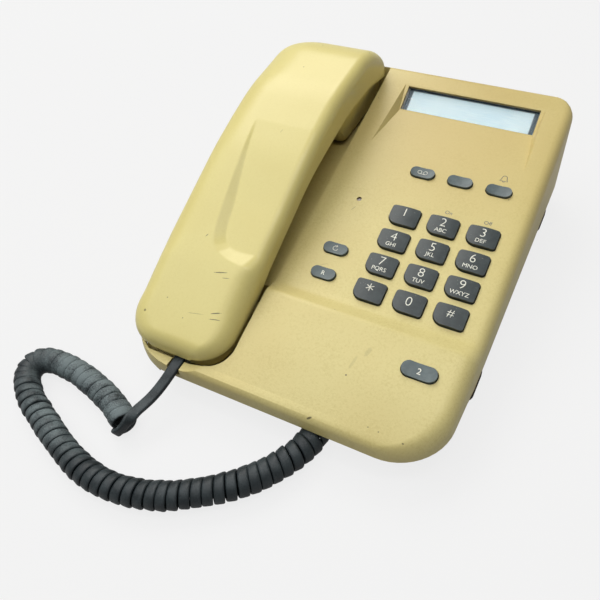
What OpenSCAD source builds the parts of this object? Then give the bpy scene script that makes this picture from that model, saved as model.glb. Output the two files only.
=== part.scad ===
// Corded desk telephone: a wedge-shaped base with a keypad panel on the right, a cradle on the
// left and a handset lying in it, joined by a curly cord. Lengths are millimetres.
// +X is the right side of the base, +Y its back, +Z up. The origin is on the table under the
// middle of the base. Pieces of the sloping panel are placed in the panel's own frame:
// x across, s up the slope from the valley behind the nose, n out of the panel.

/* [Base] */
// Overall width of the base
base_width = 162; // [158:1:200]
// Overall depth of the base
base_depth = 208; // [206:1:250]
// Height of the base's lower edge above the table
rim_height = 13.5; // [12:0.5:18]
// Slope of the keypad panel, in degrees
panel_slope = 12; // [8:0.5:16]
// Height of the panel surface in the valley behind the nose
valley_height = 32.5; // [30:0.5:40]
// Wall of the moulded housings
wall = 2.5; // [1.8:0.1:3]
// Plan radius of the front corners
front_corner = 25; // [15:1:30]
// Plan radius of the back corners
back_corner = 12; // [8:1:20]
// Distance from the front edge to the crest of the nose
nose_length = 49.5; // [45:0.5:55]
// Height of the nose's crest
crest_height = 35.8; // [34:0.1:45]

/* [Cradle] */
// Distance from the base's left edge to the cradle's right wall
cradle_width = 58.4; // [57:0.2:64]
// Thickness of the cradle's left rim
rim_wall = 4; // [3:0.5:5]
// Depth of the trough under the grip, below the panel surface
trough_depth = 6; // [4:0.5:9]
// Length of the pocket for the mouthpiece
mouth_pocket = 52; // [50:1:60]
// Height of the mouthpiece pocket's floor
mouth_floor = 12.2; // [11:0.1:14]
// Distance from the front edge to the earpiece pocket
ear_pocket_start = 150; // [146:1:154]
// Height of the earpiece pocket's floor
ear_floor = 43.4; // [40:0.1:46]

/* [Handset] */
// Overall width of the handset
handset_width = 55.6; // [50:0.2:57]
// Length of the handset, measured level
handset_length = 200; // [196:1:206]
// Wall of the handset's shells
handset_wall = 2.2; // [1.8:0.1:3]
// Distance from the base's front edge to the handset's end
handset_front = 5.5; // [5:0.5:8]
// Distance from the base's left edge to the handset's side
handset_side = 1; // [0.5:0.1:3]
// How far the lower shell's sides stand inside the upper shell's
lower_shell_inset = 4.6; // [4.2:0.1:7]
// How far the handset lifts to come clear of the cradle
handset_lift = 80; // [60:5:120]

/* [Keys] */
// Width of a dialling key
key_width = 14.7; // [12:0.1:16]
// Depth of a dialling key, up the slope
key_depth = 10.7; // [9:0.1:12]
// Distance between key columns
key_column_pitch = 19.5; // [18:0.1:22]
// Distance between key rows
key_row_pitch = 14.9; // [14:0.1:16]
// How far a key stands above the panel
key_rise = 2; // [1:0.1:3]
// How far a key moves when it is pressed
key_travel = 1.5; // [1:0.1:2]
// Gap round a key in its opening
key_gap = 0.4; // [0.3:0.05:0.6]
// Length of a small oval key
oval_length = 12.4; // [11:0.1:14]
// Width of a small oval key
oval_width = 6; // [5:0.1:7]

/* [Display] */
// Width of the display window
window_width = 73.3; // [60:0.5:75]
// Height of the display window
window_height = 14.6; // [12:0.1:18]
// Depth of the recess at the window's lower edge
window_depth = 4; // [3:0.1:6]

/* [Jacks and screws] */
// Width of the plug on each end of the handset cord
plug_width = 7.7; // [7.5:0.1:8]
// Height of the plug
plug_height = 6; // [5.6:0.1:6.4]
// Length of the plug
plug_length = 12; // [11:0.5:14]
// Gap round a plug in its socket
plug_gap = 0.25; // [0.15:0.05:0.4]
// Width of the line socket's opening
line_socket_width = 9.9; // [9.7:0.1:10.5]
// Height of the line socket's opening
line_socket_height = 6.8; // [6.6:0.1:7.4]
// Depth of the line socket
line_socket_depth = 12.5; // [11:0.5:14]
// Radius of a housing screw's shank
screw_radius = 1.5; // [1.2:0.1:2]
// Distance between the two wall-hanging keyholes
keyhole_spacing = 100; // [80:1:110]
// Radius of a keyhole's round end
keyhole_radius = 4.5; // [4:0.1:5]

/* [Feet and cord] */
// Length of a rubber foot
foot_length = 21; // [16:1:28]
// Width of a rubber foot
foot_width = 9; // [7:0.5:12]
// How far the feet lift the housing off the table
foot_height = 2; // [1.5:0.1:4]
// Outer diameter of the curly cord's coil
coil_diameter = 13; // [11:0.5:13]
// Width of the flat lead at each end of the cord
lead_width = 5.4; // [4.5:0.1:6]
// Thickness of the flat lead
lead_thickness = 2.6; // [2:0.1:3]

/* [Hidden] */

cream = "#dccb8c";
cream_shade = "#c8b272";
slate = "#46525f";
oval_grey = "#70808c";
cord_black = "#2d343c";
steel = "#b8bcc0";
board_green = "#2f6b3c";
rubber_black = "#26262a";

front = -base_depth/2;
back = base_depth/2;
left = -base_width/2;
right = base_width/2;

// Base outline and profile
front_height = 22.2;                // top of the front edge before rounding
mid_nose = [23, 29.2];              // distance from the front and height of the nose's bend
top_edge = 4;                       // rounding of the front top edge seen from the side
back_edge = 3.5;                    // rounding of the back top edge
panel_edge = 5.5;                   // rounding along the panel's sides
nose_edge = 8;                      // rounding along the nose's sides
side_pull = 2.5;                    // how far the sides draw in towards the front
pull_start = front + 75;
valley = front + nose_length + 8.5;
panel_length = (back - valley)/cos(panel_slope);
cradle_right = left + cradle_width;
cradle_left = left + rim_wall;
pocket_front = front + handset_front - 0.5;
pocket_corner = 13;
mouth_end = front + 5 + mouth_pocket;
ear_start = front + ear_pocket_start;
ear_end = front + handset_front + handset_length + 1;
rim_drop = 3;                       // left rim below the panel surface
front_rim_height = 20.4;
rim_bend = valley + (front_rim_height + rim_drop - valley_height)/tan(panel_slope);

// Panel layout, in the panel's frame
key_right = right - 19.3;
key_front = 9.2;
function_key_s = 82.4;
small_oval_x = cradle_right + 20.6;
recall_s = 11.3;
redial_s = 26.1;
lamp_x = cradle_right + 19.4;
lamp_s = 58.1;
lamp_radius = 1.3;
window_x = right - 52.2;
window_s = 124.2;                   // the window's lower edge
recess_top = 140.2;
recess_bottom = 96.5;
recess_outline = [[-window_width/2 - 4.4, recess_bottom], [window_width/2 + 3.2, recess_bottom],
    [window_width/2 + 1.8, recess_top], [-window_width/2 - 1.8, recess_top]];
window_tilt = atan2(window_depth, recess_top - window_s);
window_skin = 1.5;                  // what is left of the housing round the window
second_oval_length = 16;
second_oval_width = 7;
second_key_x = right - 21.8;
second_key_y = front + 35.5;

// Stack under the panel, as depths below its surface
flange_drop = 0.4;
flange_thickness = 1.2;
flange_reach = 0.9;
key_foot = 7;
membrane_top = 10;
membrane_thickness = 1;
board_thickness = 1.6;
board_top = membrane_top + membrane_thickness;
dome_radius = 3.2;
dome_height = membrane_top - key_foot - key_travel - 0.2;
board_left = cradle_right + wall + 3;
board_right = right - wall - 3;
board_end = 120;
nose_screws = [-12, 12];
board_screw_spots = [[board_left + 5, 44], [board_right - 5, 70],
    [board_left + 5, 112], [board_right - 5, 112]];

// Handset
handset_left = left + handset_side;
handset_x = handset_left + handset_width/2;
handset_y0 = front + handset_front;
handset_y1 = handset_y0 + handset_length;
mouth_corner = 17;
ear_corner_right = 10;
ear_corner_left = 27;
ear_spread = 0.8;                   // how much further the ear end reaches to the right
seat_gap = 0.5;
mouth_bottom = mouth_floor + seat_gap;
ear_bottom = ear_floor + seat_gap;
receiver_y = handset_y1 - 27;
receiver_radius = 17;
microphone_y = handset_y0 + 25.5;
microphone_radius = 5;
plunger_y = receiver_y;
plunger_x = handset_x;
plunger_radius = 3;
plunger_rise = 4;
handset_jack_z = mouth_bottom + 6.9;
handset_jack_x = handset_x + 4;
handset_screw_y = [handset_y0 + 55, handset_y1 - 66];
// The ramp round the grip's sunken face: its upper and lower edge, each as distances to the
// right of the handset's middle and back from the mouth end
grip_ramp = [[34, 41.5, 34, 50.6], [24.2, 41.5, 26, 49.9], [17.7, 41.5, 17.8, 48.9],
    [10.6, 42.5, 12.5, 48.9], [5.1, 44.4, 8.6, 49.6], [1.5, 47, 5.8, 51.4], [-0.2, 49, 4.2, 53.4],
    [-1.5, 52, 2.9, 56.2], [-3, 58.5, 1.6, 61.5], [-4.4, 68.6, 0.6, 69], [-5.6, 77.5, -1.6, 78],
    [-6.7, 86.3, -3.6, 87], [-7.9, 99, -6.2, 99.4], [-9.2, 112, -8.4, 112.2], [-10.5, 125, -10, 125]];
grip_sink = 2.6;
function span(x, x0, x1) = min(1, max(0, (x - x0)/(x1 - x0)));
function grip_depth(y) = grip_sink*span(handset_y0 + 114 - y, 0, 40)*span(y - handset_y0, 26, 38);

// Lower housing
tub_inset = 1;
tub_wall = 3.4;
tub_front = front + 15;
tub_back = back - 5;
tub_corner = 14;
tub_front_corner = 40;
floor_top = foot_height + 2;
shelf_top = rim_height + 2;
channel_x = 24;
channel_width = 19;
channel_end = front + 51;
channel_roof = rim_height + 1;
line_socket_x = right - 40;
line_socket_z = 9.3;
foot_x = right - 5.1;
foot_y = [front + 59.5, back - 28];
foot_seat = 1;
screw_spots = [[cradle_right + wall + 6.5, front + 22], [right - 27, front + 23.5],
    [left + 9, back - 14], [right - 9, back - 14]];
screw_head_radius = 3;
screw_boss_radius = 4;
latch_way = 4;
base_jack_z = floor_top + plug_height/2 + plug_gap + 1.7;
keyhole_x = 0;
keyhole_y = 8;

// Cord routes: x, y and z of points along the middle of each stretch
coil_radius = coil_diameter/2;
coil_route = [[-59.5, -132.3, 6.5], [-64, -130, 6.5], [-70, -127, 6.5], [-78, -124, 6.5], [-87, -121.5, 6.5],
    [-96, -119.5, 6.5], [-105, -118.5, 6.5], [-114, -118.5, 6.5], [-120, -120, 6.5],
    [-123.5, -123.5, 6.5], [-123.5, -128.5, 6.5], [-121, -133, 6.5], [-116.5, -137, 6.5],
    [-110, -141.5, 6.5], [-101, -145.5, 6.5], [-92, -149.5, 6.5], [-82, -153.5, 6.5],
    [-72, -157, 6.5], [-62, -159.5, 6.5], [-51, -160.5, 6.5], [-40, -159.5, 6.5],
    [-30, -157, 6.5], [-20, -153, 6.5], [-11, -147.5, 6.5], [-3, -142, 6.5], [4, -136, 6.5],
    [11, -128.5, 6.5], [16.5, -120.5, 6.5], [21, -112, 6.5], [23.5, -103.5, 6.5],
    [24, -95, 6.5], [24, -86, 6.5], [24, -77, 6.5]];
handset_lead_route = [[-48.2, -97, 19.6], [-48.2, -99.5, 19.6], [-48.3, -102.5, 19.2],
    [-48.8, -106, 18.1], [-49.7, -110, 16.4], [-50.8, -114.5, 14.8], [-52, -119, 13.7],
    [-53.5, -123, 13.3], [-55.3, -126.5, 13.4], [-57.4, -129.4, 13.75], [-59.6, -131.7, 13.97]];
base_lead_route = [[24, -77, 6.5], [24, -75, 6.5], [24, -71, 6.8], [24, -65, 7.8],
    [24, -59, 8.8], [24, -56, 8.95], [24, -54, 8.95]];

// ---- Shared geometry ----

function unit(v) = v/norm(v);

// Points of an arc of radius r that rounds corner b between a and c
function corner_arc(a, b, c, r, steps) =
    let(u = unit(a - b), v = unit(c - b), half = acos(u*v)/2, turn = 180 - 2*half,
        centre = b + unit(u + v)*(r/sin(half)),
        w0 = b + u*(r/tan(half)) - centre, w1 = b + v*(r/tan(half)) - centre)
    [for (i = [0:steps]) centre + (sin((1 - i/steps)*turn)*w0 + sin(i/steps*turn)*w1)/sin(turn)];

// A path through points [y, z, radius, steps], with each inner corner rounded
function rounded_path(points) = let(last = len(points) - 1)
    [for (i = [0:last]) each (i == 0 || i == last || points[i][2] == 0)
        ? [[points[i][0], points[i][1]]]
        : corner_arc([points[i - 1][0], points[i - 1][1]], [points[i][0], points[i][1]],
            [points[i + 1][0], points[i + 1][1]], points[i][2], points[i][3])];

// How far a rounded plan corner of radius r draws the side in at distance d from the end
function corner_draw(d, r) = d >= r ? 0 : r - sqrt(max(0, r*r - (r - d)*(r - d)));

// Points of a section's right corner: an arc of radius r (rz in height) from angle a0 to
// a0 + 90, or one point
function section_corner(x, z, r, a0, steps, rz = undef, backwards = false) = steps == 0 ? [[x, z]]
    : let(h = is_undef(rz) ? r : rz, cz = a0 < 0 ? z + h : z - h)
        [for (i = [0:steps]) let(a = a0 + 90*(backwards ? steps - i : i)/steps)
            [x - r + r*cos(a), cz + h*sin(a)]];

// A section across the base, with its top corners rounded
function base_ring(y, half, z_top, z_low, r, steps = 5) =
    let(side = concat([[half, z_low]], section_corner(half, z_top, r, 0, steps)))
    concat([for (p = side) [p[0], y, p[1]]], [for (i = [steps + 1:-1:0]) [-side[i][0], y, side[i][1]]]);

// A solid through sections that all have the same number of points
module loft(rings) {
    n = len(rings[0]);
    last = len(rings) - 1;
    polyhedron(
        points = [for (ring = rings) each ring],
        faces = concat(
            [[for (i = [n - 1:-1:0]) i]],
            [for (k = [0:last - 1], i = [0:n - 1]) let(j = (i + 1) % n)
                [(k + 1)*n + i, k*n + i, (k + 1)*n + j]],
            [for (k = [0:last - 1], i = [0:n - 1]) let(j = (i + 1) % n)
                [(k + 1)*n + j, k*n + i, k*n + j]],
            [[for (i = [0:n - 1]) last*n + i]]));
}

module panel_frame() {
    translate([0, valley, valley_height]) rotate([panel_slope, 0, 0]) children();
}

module window_frame() {
    panel_frame()
        translate([window_x, window_s, -window_depth]) rotate([window_tilt, 0, 0]) children();
}

module stadium(length, width) {
    square([length - width, width], center = true);
    for (side = [-1, 1]) translate([side*(length - width)/2, 0]) circle(width/2, $fn = 32);
}

// ---- Base ----

// Side profile of the top surface, drawn in by t
function top_profile(t) = rounded_path([
    [front + t, rim_height - 1],
    [front + t, front_height - t, max(1.5, top_edge - t), 5],
    [front + mid_nose[0], mid_nose[1] - t, 70, 4],
    [front + nose_length, crest_height - t, 6, 5],
    [valley, valley_height - t, 10, 5],
    [back - t, valley_height - t + (back - t - valley)*tan(panel_slope), max(1, back_edge - t), 4],
    [back - t, rim_height - 1]]);

function base_half_width(y, t) =
    base_width/2 - t - side_pull*pow(max(0, (pull_start - y)/75), 2)
    - corner_draw(y - front - t, front_corner - t) - corner_draw(back - t - y, back_corner - t);

function base_stations(t) = let(path = top_profile(t), last = len(path) - 1)
    concat(
        [for (a = [0:7.5:90]) front + t + (front_corner - t)*(1 - cos(a))],
        [for (p = path) if (p[0] > front + front_corner + 0.5 && p[0] < back - back_corner - 0.5) p[0]],
        [for (a = [90:-11.25:0]) back - t - (back_corner - t)*(1 - cos(a))]);

function side_rounding(y) = panel_edge
    + (nose_edge - panel_edge)*min(1, max(0, (valley + 6 - y)/14));

module base_form(t, low) {
    path = [for (p = top_profile(t)) if (p[1] > rim_height) p];
    loft([for (y = base_stations(t))
        let(z = lookup(y, path), h = base_half_width(y, t),
            r = max(0.6, min(side_rounding(y) - t, z - low - 0.6)))
        base_ring(y, h, z, low, r)]);
}

module base_plan(t) {
    polygon(concat(
        [for (y = base_stations(t)) [base_half_width(y, t), y]],
        [for (y = [for (i = [len(base_stations(t)) - 1:-1:0]) base_stations(t)[i]])
            [-base_half_width(y, t), y]]));
}

// Space that the cradle takes out of the base, widened by t all round
module cradle_space(t) {
    high = 120;
    hull() {
        for (x = [cradle_left + pocket_corner, cradle_right - pocket_corner],
            y = [pocket_front + pocket_corner])
            translate([x, y, mouth_floor - t]) cylinder(r = pocket_corner + t, h = high, $fn = 40);
        for (x = [cradle_left + 3, cradle_right - 3])
            translate([x, mouth_end - 3, mouth_floor - t]) cylinder(r = 3 + t, h = high, $fn = 24);
    }
    hull() for (x = [cradle_left + 3, cradle_right - 3], y = [ear_start + 3, ear_end - 3])
        translate([x, y, ear_floor - t]) cylinder(r = 3 + t, h = high, $fn = 24);
    panel_frame() translate([cradle_left - t, -2, -trough_depth - t])
        cube([cradle_width - rim_wall + 2*t, (ear_start - valley)/cos(panel_slope) + 8, high]);
}

module key_outline(grow) {
    w = key_width + 2*grow;
    d = key_depth + 2*grow;
    small = 1.3 + grow;
    big = 5.2 + grow;
    corner = [[w/2 - small, d/2 - small, small, 0], [-w/2 + small, d/2 - small, small, 90],
        [-w/2 + big, -d/2 + big, big, 180], [w/2 - small, -d/2 + small, small, 270]];
    polygon([for (c = corner, i = [0:6]) let(a = c[3] + 15*i)
        [c[0] + c[2]*cos(a), c[1] + c[2]*sin(a)]]);
}

function key_place(index) =
    [key_right - key_column_pitch*(2 - index % 3), key_front + key_row_pitch*(3 - floor(index/3))];

oval_places = [for (i = [0:2]) [key_right - key_column_pitch*(2 - i) - 1, function_key_s],
    [small_oval_x, redial_s], [small_oval_x, recall_s]];

nose_slope = atan2(crest_height - mid_nose[1], nose_length - mid_nose[0]);
module nose_frame() {
    translate([second_key_x, second_key_y,
        crest_height - (front + nose_length - second_key_y)*tan(nose_slope)])
        rotate([nose_slope, 0, 0]) children();
}

module display_recess() {
    over = 2;
    panel_frame() hull() {
        translate([window_x - window_width/2, window_s, -window_depth])
            cube([window_width, 0.3, 0.2]);
        // The sides pass through the recess's outline on the panel and go on above it
        translate([0, 0, over]) linear_extrude(12) polygon([for (p = recess_outline)
            [window_x + p[0] + (p[0] - sign(p[0])*window_width/2)*over/window_depth,
                p[1] + (p[1] - window_s)*over/window_depth]]);
    }
    window_frame() {
        translate([-window_width/2 + 0.4, 1, -12]) cube([window_width - 0.8, window_height, 14]);
        translate([-window_width/2 - 1.8, -1.1, -12])
            cube([window_width + 3.6, window_height + 4.1, 12 - window_skin]);
    }
}

module screw_boss_row(radius, z0, z1) {
    for (p = screw_spots) translate([p[0], p[1], z0]) cylinder(r = radius, h = z1 - z0, $fn = 32);
}

module upper_housing() {
    color(cream) difference() {
        union() {
            difference() {
                base_form(0, rim_height);
                base_form(wall, rim_height - 5);
            }
            intersection() {
                base_form(wall/2, rim_height - 3.5);
                union() {
                    cradle_space(wall);
                    panel_frame()
                        translate([window_x - window_width/2 - 8, recess_bottom - 4, -window_depth - wall])
                        cube([window_width + 16, recess_top - recess_bottom + 7, 20]);
                    screw_boss_row(screw_boss_radius, shelf_top, 70);
                }
            }
            for (p = board_screw_spots) panel_frame()
                translate([p[0], p[1], -board_top]) cylinder(r = 3, h = board_top - 1, $fn = 24);
            for (x = nose_screws) nose_frame()
                translate([x, 0, -board_top]) cylinder(r = 2.6, h = board_top - 1, $fn = 24);
            // Chimney that holds the hook switch under the earpiece pocket
            translate([plunger_x, plunger_y, ear_floor - 24]) difference() {
                translate([-11, -8, 0]) cube([22, 16, 24 - wall/2]);
                translate([-9.2, -6.2, -1]) cube([18.4, 12.4, 30]);
            }
        }
        cradle_space(0);
        // The rim left of the handset and in front of it is lower than the panel
        translate([left - 5, 0, 0]) rotate([90, 0, 90]) linear_extrude(rim_wall + 6)
            polygon([[front - 5, front_rim_height], [rim_bend, front_rim_height],
                [back + 5, front_rim_height + (back + 5 - rim_bend)*tan(panel_slope)],
                [back + 5, 140], [front - 5, 140]]);
        translate([0, pocket_front + 6, 0]) rotate([90, 0, 0]) linear_extrude(20)
            polygon([[left - 5, front_rim_height], [cradle_right - 20, front_rim_height],
                [cradle_right - 1, 27], [cradle_right - 1, 60], [left - 5, 60]]);
        // Notch for the flat lead
        translate([handset_jack_x, pocket_front + 2, 0]) rotate([90, 0, 0]) linear_extrude(12)
            polygon([[-3.3, 15.8], [3.3, 15.8], [3.8, 40], [-3.8, 40]]);
        display_recess();
        for (i = [0:11]) panel_frame() translate([key_place(i)[0], key_place(i)[1], -9])
            linear_extrude(20) key_outline(key_gap);
        for (p = oval_places) panel_frame() translate([p[0], p[1], -9]) hull()
            for (side = [-1, 1]) translate([side*(oval_length - oval_width)/2, 0, 0])
                cylinder(d = oval_width + 2*key_gap, h = 20, $fn = 28);
        nose_frame() hull() for (side = [-1, 1])
            translate([side*(second_oval_length - second_oval_width)/2, 0, -9])
                cylinder(d = second_oval_width + 2*key_gap, h = 20, $fn = 28);
        panel_frame() translate([lamp_x, lamp_s, -9]) cylinder(r = lamp_radius, h = 20, $fn = 24);
        translate([plunger_x, plunger_y, 20]) cylinder(r = plunger_radius + 0.4, h = 40, $fn = 32);
        screw_boss_row(screw_radius + 0.1, shelf_top - 4, shelf_top + 12);
        for (p = board_screw_spots) panel_frame()
            translate([p[0], p[1], -board_top - 1]) cylinder(r = 1.1, h = 9, $fn = 20);
        for (x = nose_screws) nose_frame()
            translate([x, 0, -board_top - 1]) cylinder(r = 1.1, h = 9, $fn = 20);
    }
}

module keyhole(z0, depth) {
    translate([0, 0, z0]) cylinder(r = keyhole_radius, h = depth, $fn = 48);
    translate([-2.4, 0, z0]) cube([4.8, 9, depth]);
    translate([0, 9, z0]) cylinder(r = 2.4, h = depth, $fn = 32);
}

// Outline of the tub under the housing, drawn in by t
module tub_plan(t) {
    corners = [[1, tub_back - tub_corner, tub_corner, 0], [-1, tub_back - tub_corner, tub_corner, 90],
        [-1, tub_front + tub_front_corner, tub_front_corner, 180],
        [1, tub_front + tub_front_corner, tub_front_corner, 270]];
    polygon([for (c = corners, i = [0:9]) let(a = c[3] + 10*i)
        [c[0]*(right - tub_inset - c[2]) + (c[2] - t)*cos(a), c[1] + (c[2] - t)*sin(a)]]);
}

module lower_housing() {
    color(cream_shade) difference() {
        union() {
            translate([0, 0, rim_height]) linear_extrude(shelf_top - rim_height) base_plan(wall + 0.3);
            translate([0, 0, foot_height]) linear_extrude(rim_height - foot_height) tub_plan(0);
        }
        difference() {
            translate([0, 0, floor_top]) linear_extrude(shelf_top + 1 - floor_top) tub_plan(tub_wall);
            // What stands on the floor
            translate([channel_x - channel_width/2 - 2, tub_front, 0])
                cube([channel_width + 4, channel_end + 2 - tub_front, channel_roof + 2]);
            translate([line_socket_x - 8, tub_back - 18, 0]) cube([16, 18, floor_top + 0.2]);
            for (p = screw_spots) translate([p[0], p[1], 0])
                cylinder(r = screw_head_radius + 2.2, h = shelf_top, $fn = 40);
            for (x = [-60, -20, 20, 60]) translate([x - 0.8, -20, 0]) cube([1.6, 100, floor_top + 3]);
            for (y = [channel_end + 14, 60]) translate([left + 4, y, 0])
                cube([base_width - 8, 1.6, floor_top + 3]);
            for (y = [keyhole_y - keyhole_spacing/2, keyhole_y + keyhole_spacing/2])
                translate([keyhole_x - 9, y - 8, 0]) cube([18, 26, floor_top + 5]);
        }
        // Channel for the cord, open to the front and below, with the plug's way in at its end
        translate([channel_x - channel_width/2, tub_front - 5, 0])
            cube([channel_width, channel_end - tub_front + 5, channel_roof]);
        translate([channel_x - plug_width/2 - plug_gap, channel_end - 1,
            base_jack_z - plug_height/2 - plug_gap])
            cube([plug_width + 2*plug_gap, 4, plug_height + 2*plug_gap]);
        translate([channel_x - latch_way/2, channel_end - 1, base_jack_z - plug_height/2 - 1.5])
            cube([latch_way, 4, 2]);
        // Room for the mouthpiece pocket
        translate([left - 1, front - 1, mouth_floor - wall - 0.4])
            cube([cradle_width + wall + 1.4, mouth_end - front + wall + 1.4, 20]);
        // Line socket's way in
        translate([line_socket_x - line_socket_width/2, tub_back - tub_wall - 1,
            line_socket_z - line_socket_height/2])
            cube([line_socket_width, tub_wall + 2, line_socket_height]);
        for (y = [keyhole_y - keyhole_spacing/2, keyhole_y + keyhole_spacing/2])
            translate([keyhole_x, y, 0]) {
                keyhole(foot_height - 1, floor_top - foot_height + 2);
                translate([-7, -6.5, floor_top]) cube([14, 22, 8]);
            }
        for (p = screw_spots) translate([p[0], p[1], 0]) {
            cylinder(r = screw_head_radius + 0.4, h = shelf_top - 3, $fn = 40);
            cylinder(r = screw_radius + 0.2, h = 30, $fn = 32);
        }
        for (x = [-foot_x, foot_x], y = foot_y) translate([x, y, foot_height - 1])
            rotate([0, 0, 90]) linear_extrude(1 + foot_seat) stadium(foot_length + 0.3, foot_width + 0.3);
    }
}

module rubber_feet() {
    color(rubber_black) for (x = [-foot_x, foot_x], y = foot_y) translate([x, y, 0])
        rotate([0, 0, 90]) {
            translate([0, 0, 0.5]) linear_extrude(foot_height + foot_seat - 0.5)
                stadium(foot_length, foot_width);
            linear_extrude(0.6) stadium(foot_length - 1, foot_width - 1);
        }
}

module base_screws() {
    color(steel) for (p = screw_spots) translate([p[0], p[1], shelf_top - 3]) {
        translate([0, 0, -2]) difference() {
            cylinder(r = screw_head_radius, h = 2, $fn = 32);
            for (turn = [0, 90]) rotate([0, 0, turn]) translate([-1.6, -0.4, -1]) cube([3.2, 0.8, 2]);
        }
        cylinder(r = screw_radius, h = 13, $fn = 24);
    }
}

// ---- Display and electronics ----

module display_window() {
    color("#b9cfd6", 0.5) window_frame() translate([-window_width/2 - 1.5, 0.2, -3.2])
        cube([window_width + 3, window_height + 1.6, 1.6]);
}

module lcd_panel() {
    color("#a9b8bb") window_frame() {
        translate([-window_width/2 + 1, 0.6, -6.2]) cube([window_width - 2, window_height + 0.8, 2.8]);
    }
}

module lcd_holder() {
    color("#e4e2da") window_frame() difference() {
        translate([-window_width/2 - 1.2, -0.8, -8]) cube([window_width + 2.4, window_height + 3.4, 4.6]);
        translate([-window_width/2 + 0.8, 0.4, -6.4]) cube([window_width - 1.6, window_height + 1.2, 4]);
    }
}

module main_board() {
    color(board_green) panel_frame() difference() {
        translate([board_left, 3, -board_top - board_thickness])
            cube([board_right - board_left, board_end - 3, board_thickness]);
        for (p = board_screw_spots) translate([p[0], p[1], -20]) cylinder(r = 1.3, h = 20, $fn = 24);
    }
    color(board_green) nose_frame() difference() {
        translate([-15, -6, -board_top - board_thickness]) cube([30, 12, board_thickness]);
        for (x = nose_screws) translate([x, 0, -20]) cylinder(r = 1.3, h = 20, $fn = 24);
    }
}

module board_screw() {
    translate([0, 0, -board_top - board_thickness - 1.6]) cylinder(r = 2.2, h = 1.6, $fn = 24);
    translate([0, 0, -board_top - board_thickness]) cylinder(r = 1, h = 8, $fn = 20);
}

module board_screws() {
    color(steel) {
        for (p = board_screw_spots) panel_frame() translate([p[0], p[1], 0]) board_screw();
        for (x = nose_screws) nose_frame() translate([x, 0, 0]) board_screw();
    }
}

module keypad_membrane() {
    color("#8a8f94") panel_frame() {
        difference() {
            union() {
                translate([key_place(0)[0] - 11, key_front - 6, -board_top])
                    cube([2*key_column_pitch + 22, 3*key_row_pitch + 14, membrane_thickness]);
                translate([small_oval_x - 8, recall_s - 5, -board_top])
                    cube([16, redial_s - recall_s + 10, membrane_thickness]);
                translate([key_place(0)[0] - 11, function_key_s - 5, -board_top])
                    cube([2*key_column_pitch + 22, 10, membrane_thickness]);
            }
            for (p = board_screw_spots) translate([p[0], p[1], -20]) cylinder(r = 3.4, h = 20, $fn = 24);
        }
        for (p = concat([for (i = [0:11]) key_place(i)], oval_places)) translate([p[0], p[1], -membrane_top])
            cylinder(r1 = dome_radius, r2 = dome_radius - 1, h = dome_height, $fn = 32);
    }
    color("#8a8f94") nose_frame() {
        translate([-8, -5, -board_top]) cube([16, 10, membrane_thickness]);
        translate([0, 0, -membrane_top])
            cylinder(r1 = dome_radius, r2 = dome_radius - 1, h = dome_height, $fn = 32);
    }
}

// One dialling key: a cap with a gently domed top on a flange that holds it under the panel
module dial_key(index) {
    color(slate) panel_frame() translate([key_place(index)[0], key_place(index)[1], 0]) {
        intersection() {
            translate([0, 0, -key_foot + 1]) linear_extrude(key_foot + key_rise) key_outline(0);
            translate([0, 15, key_rise - 38]) rotate([90, 0, 0]) cylinder(r = 38, h = 30, $fn = 96);
        }
        translate([0, 0, -wall - flange_drop - flange_thickness]) linear_extrude(flange_thickness)
            key_outline(flange_reach);
        translate([0, 0, -key_foot]) cylinder(r = 2.4, h = 2, $fn = 24);
    }
}

module oval_key(length, width, gap_depth) {
    difference() {
        translate([0, 0, -key_foot + 1]) linear_extrude(key_foot + 0.6) stadium(length, width);
        translate([0, 0, 30.9]) sphere(r = 30, $fn = 96);
    }
    translate([0, 0, -gap_depth - flange_thickness]) linear_extrude(flange_thickness)
        stadium(length + 2*flange_reach, width + 2*flange_reach);
    translate([0, 0, -key_foot]) cylinder(r = 2, h = 2, $fn = 24);
}

module function_key(index) {
    color(oval_grey) panel_frame() translate([oval_places[index][0], oval_places[index][1], 0])
        oval_key(oval_length, oval_width, wall + flange_drop);
}

module second_call_key() {
    color(oval_grey) nose_frame() oval_key(second_oval_length, second_oval_width, wall + 0.9);
}

module call_lamp() {
    color("#8f4a42") panel_frame() translate([lamp_x, lamp_s, 0]) {
        translate([0, 0, -board_top]) cylinder(r = 2.4, h = 1, $fn = 24);
        translate([0, 0, -board_top]) cylinder(r = lamp_radius - 0.15, h = board_top - 0.8, $fn = 24);
    }
}

module hook_plunger() {
    color("#d8d4c4") translate([plunger_x, plunger_y, 0]) {
        translate([0, 0, ear_floor - 23.5]) cylinder(r = plunger_radius, h = 23.5 + 0.2, $fn = 32);
        translate([0, 0, ear_floor - wall - plunger_rise - 2.2])
            cylinder(r = plunger_radius + 1.6, h = 1.6, $fn = 32);
    }
}

module hook_spring() {
    color(steel) translate([plunger_x, plunger_y, ear_floor - 18]) difference() {
        cylinder(r = plunger_radius + 1.2, h = 18 - wall - plunger_rise - 2.4, $fn = 40);
        translate([0, 0, -1]) cylinder(r = plunger_radius + 0.4, h = 30, $fn = 40);
    }
}

module hook_switch() {
    color("#33373b") translate([plunger_x, plunger_y, 0]) {
        difference() {
            translate([-9, -6, ear_floor - 26]) cube([18, 12, 8]);
            translate([0, 0, ear_floor - 24]) cylinder(r = plunger_radius + 0.3, h = 10, $fn = 32);
        }
        for (x = [-6, 6]) translate([x - 0.4, -1.5, ear_floor - 29.5]) cube([0.8, 3, 3.6]);
    }
}

module ringer() {
    color("#3a3a3c") translate([-40, 20, floor_top]) difference() {
        cylinder(r = 14, h = 6, $fn = 56);
        translate([0, 0, 4.5]) cylinder(r = 11.5, h = 4, $fn = 48);
        translate([0, 0, 2]) cylinder(r = 2, h = 6, $fn = 24);
    }
}

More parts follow.
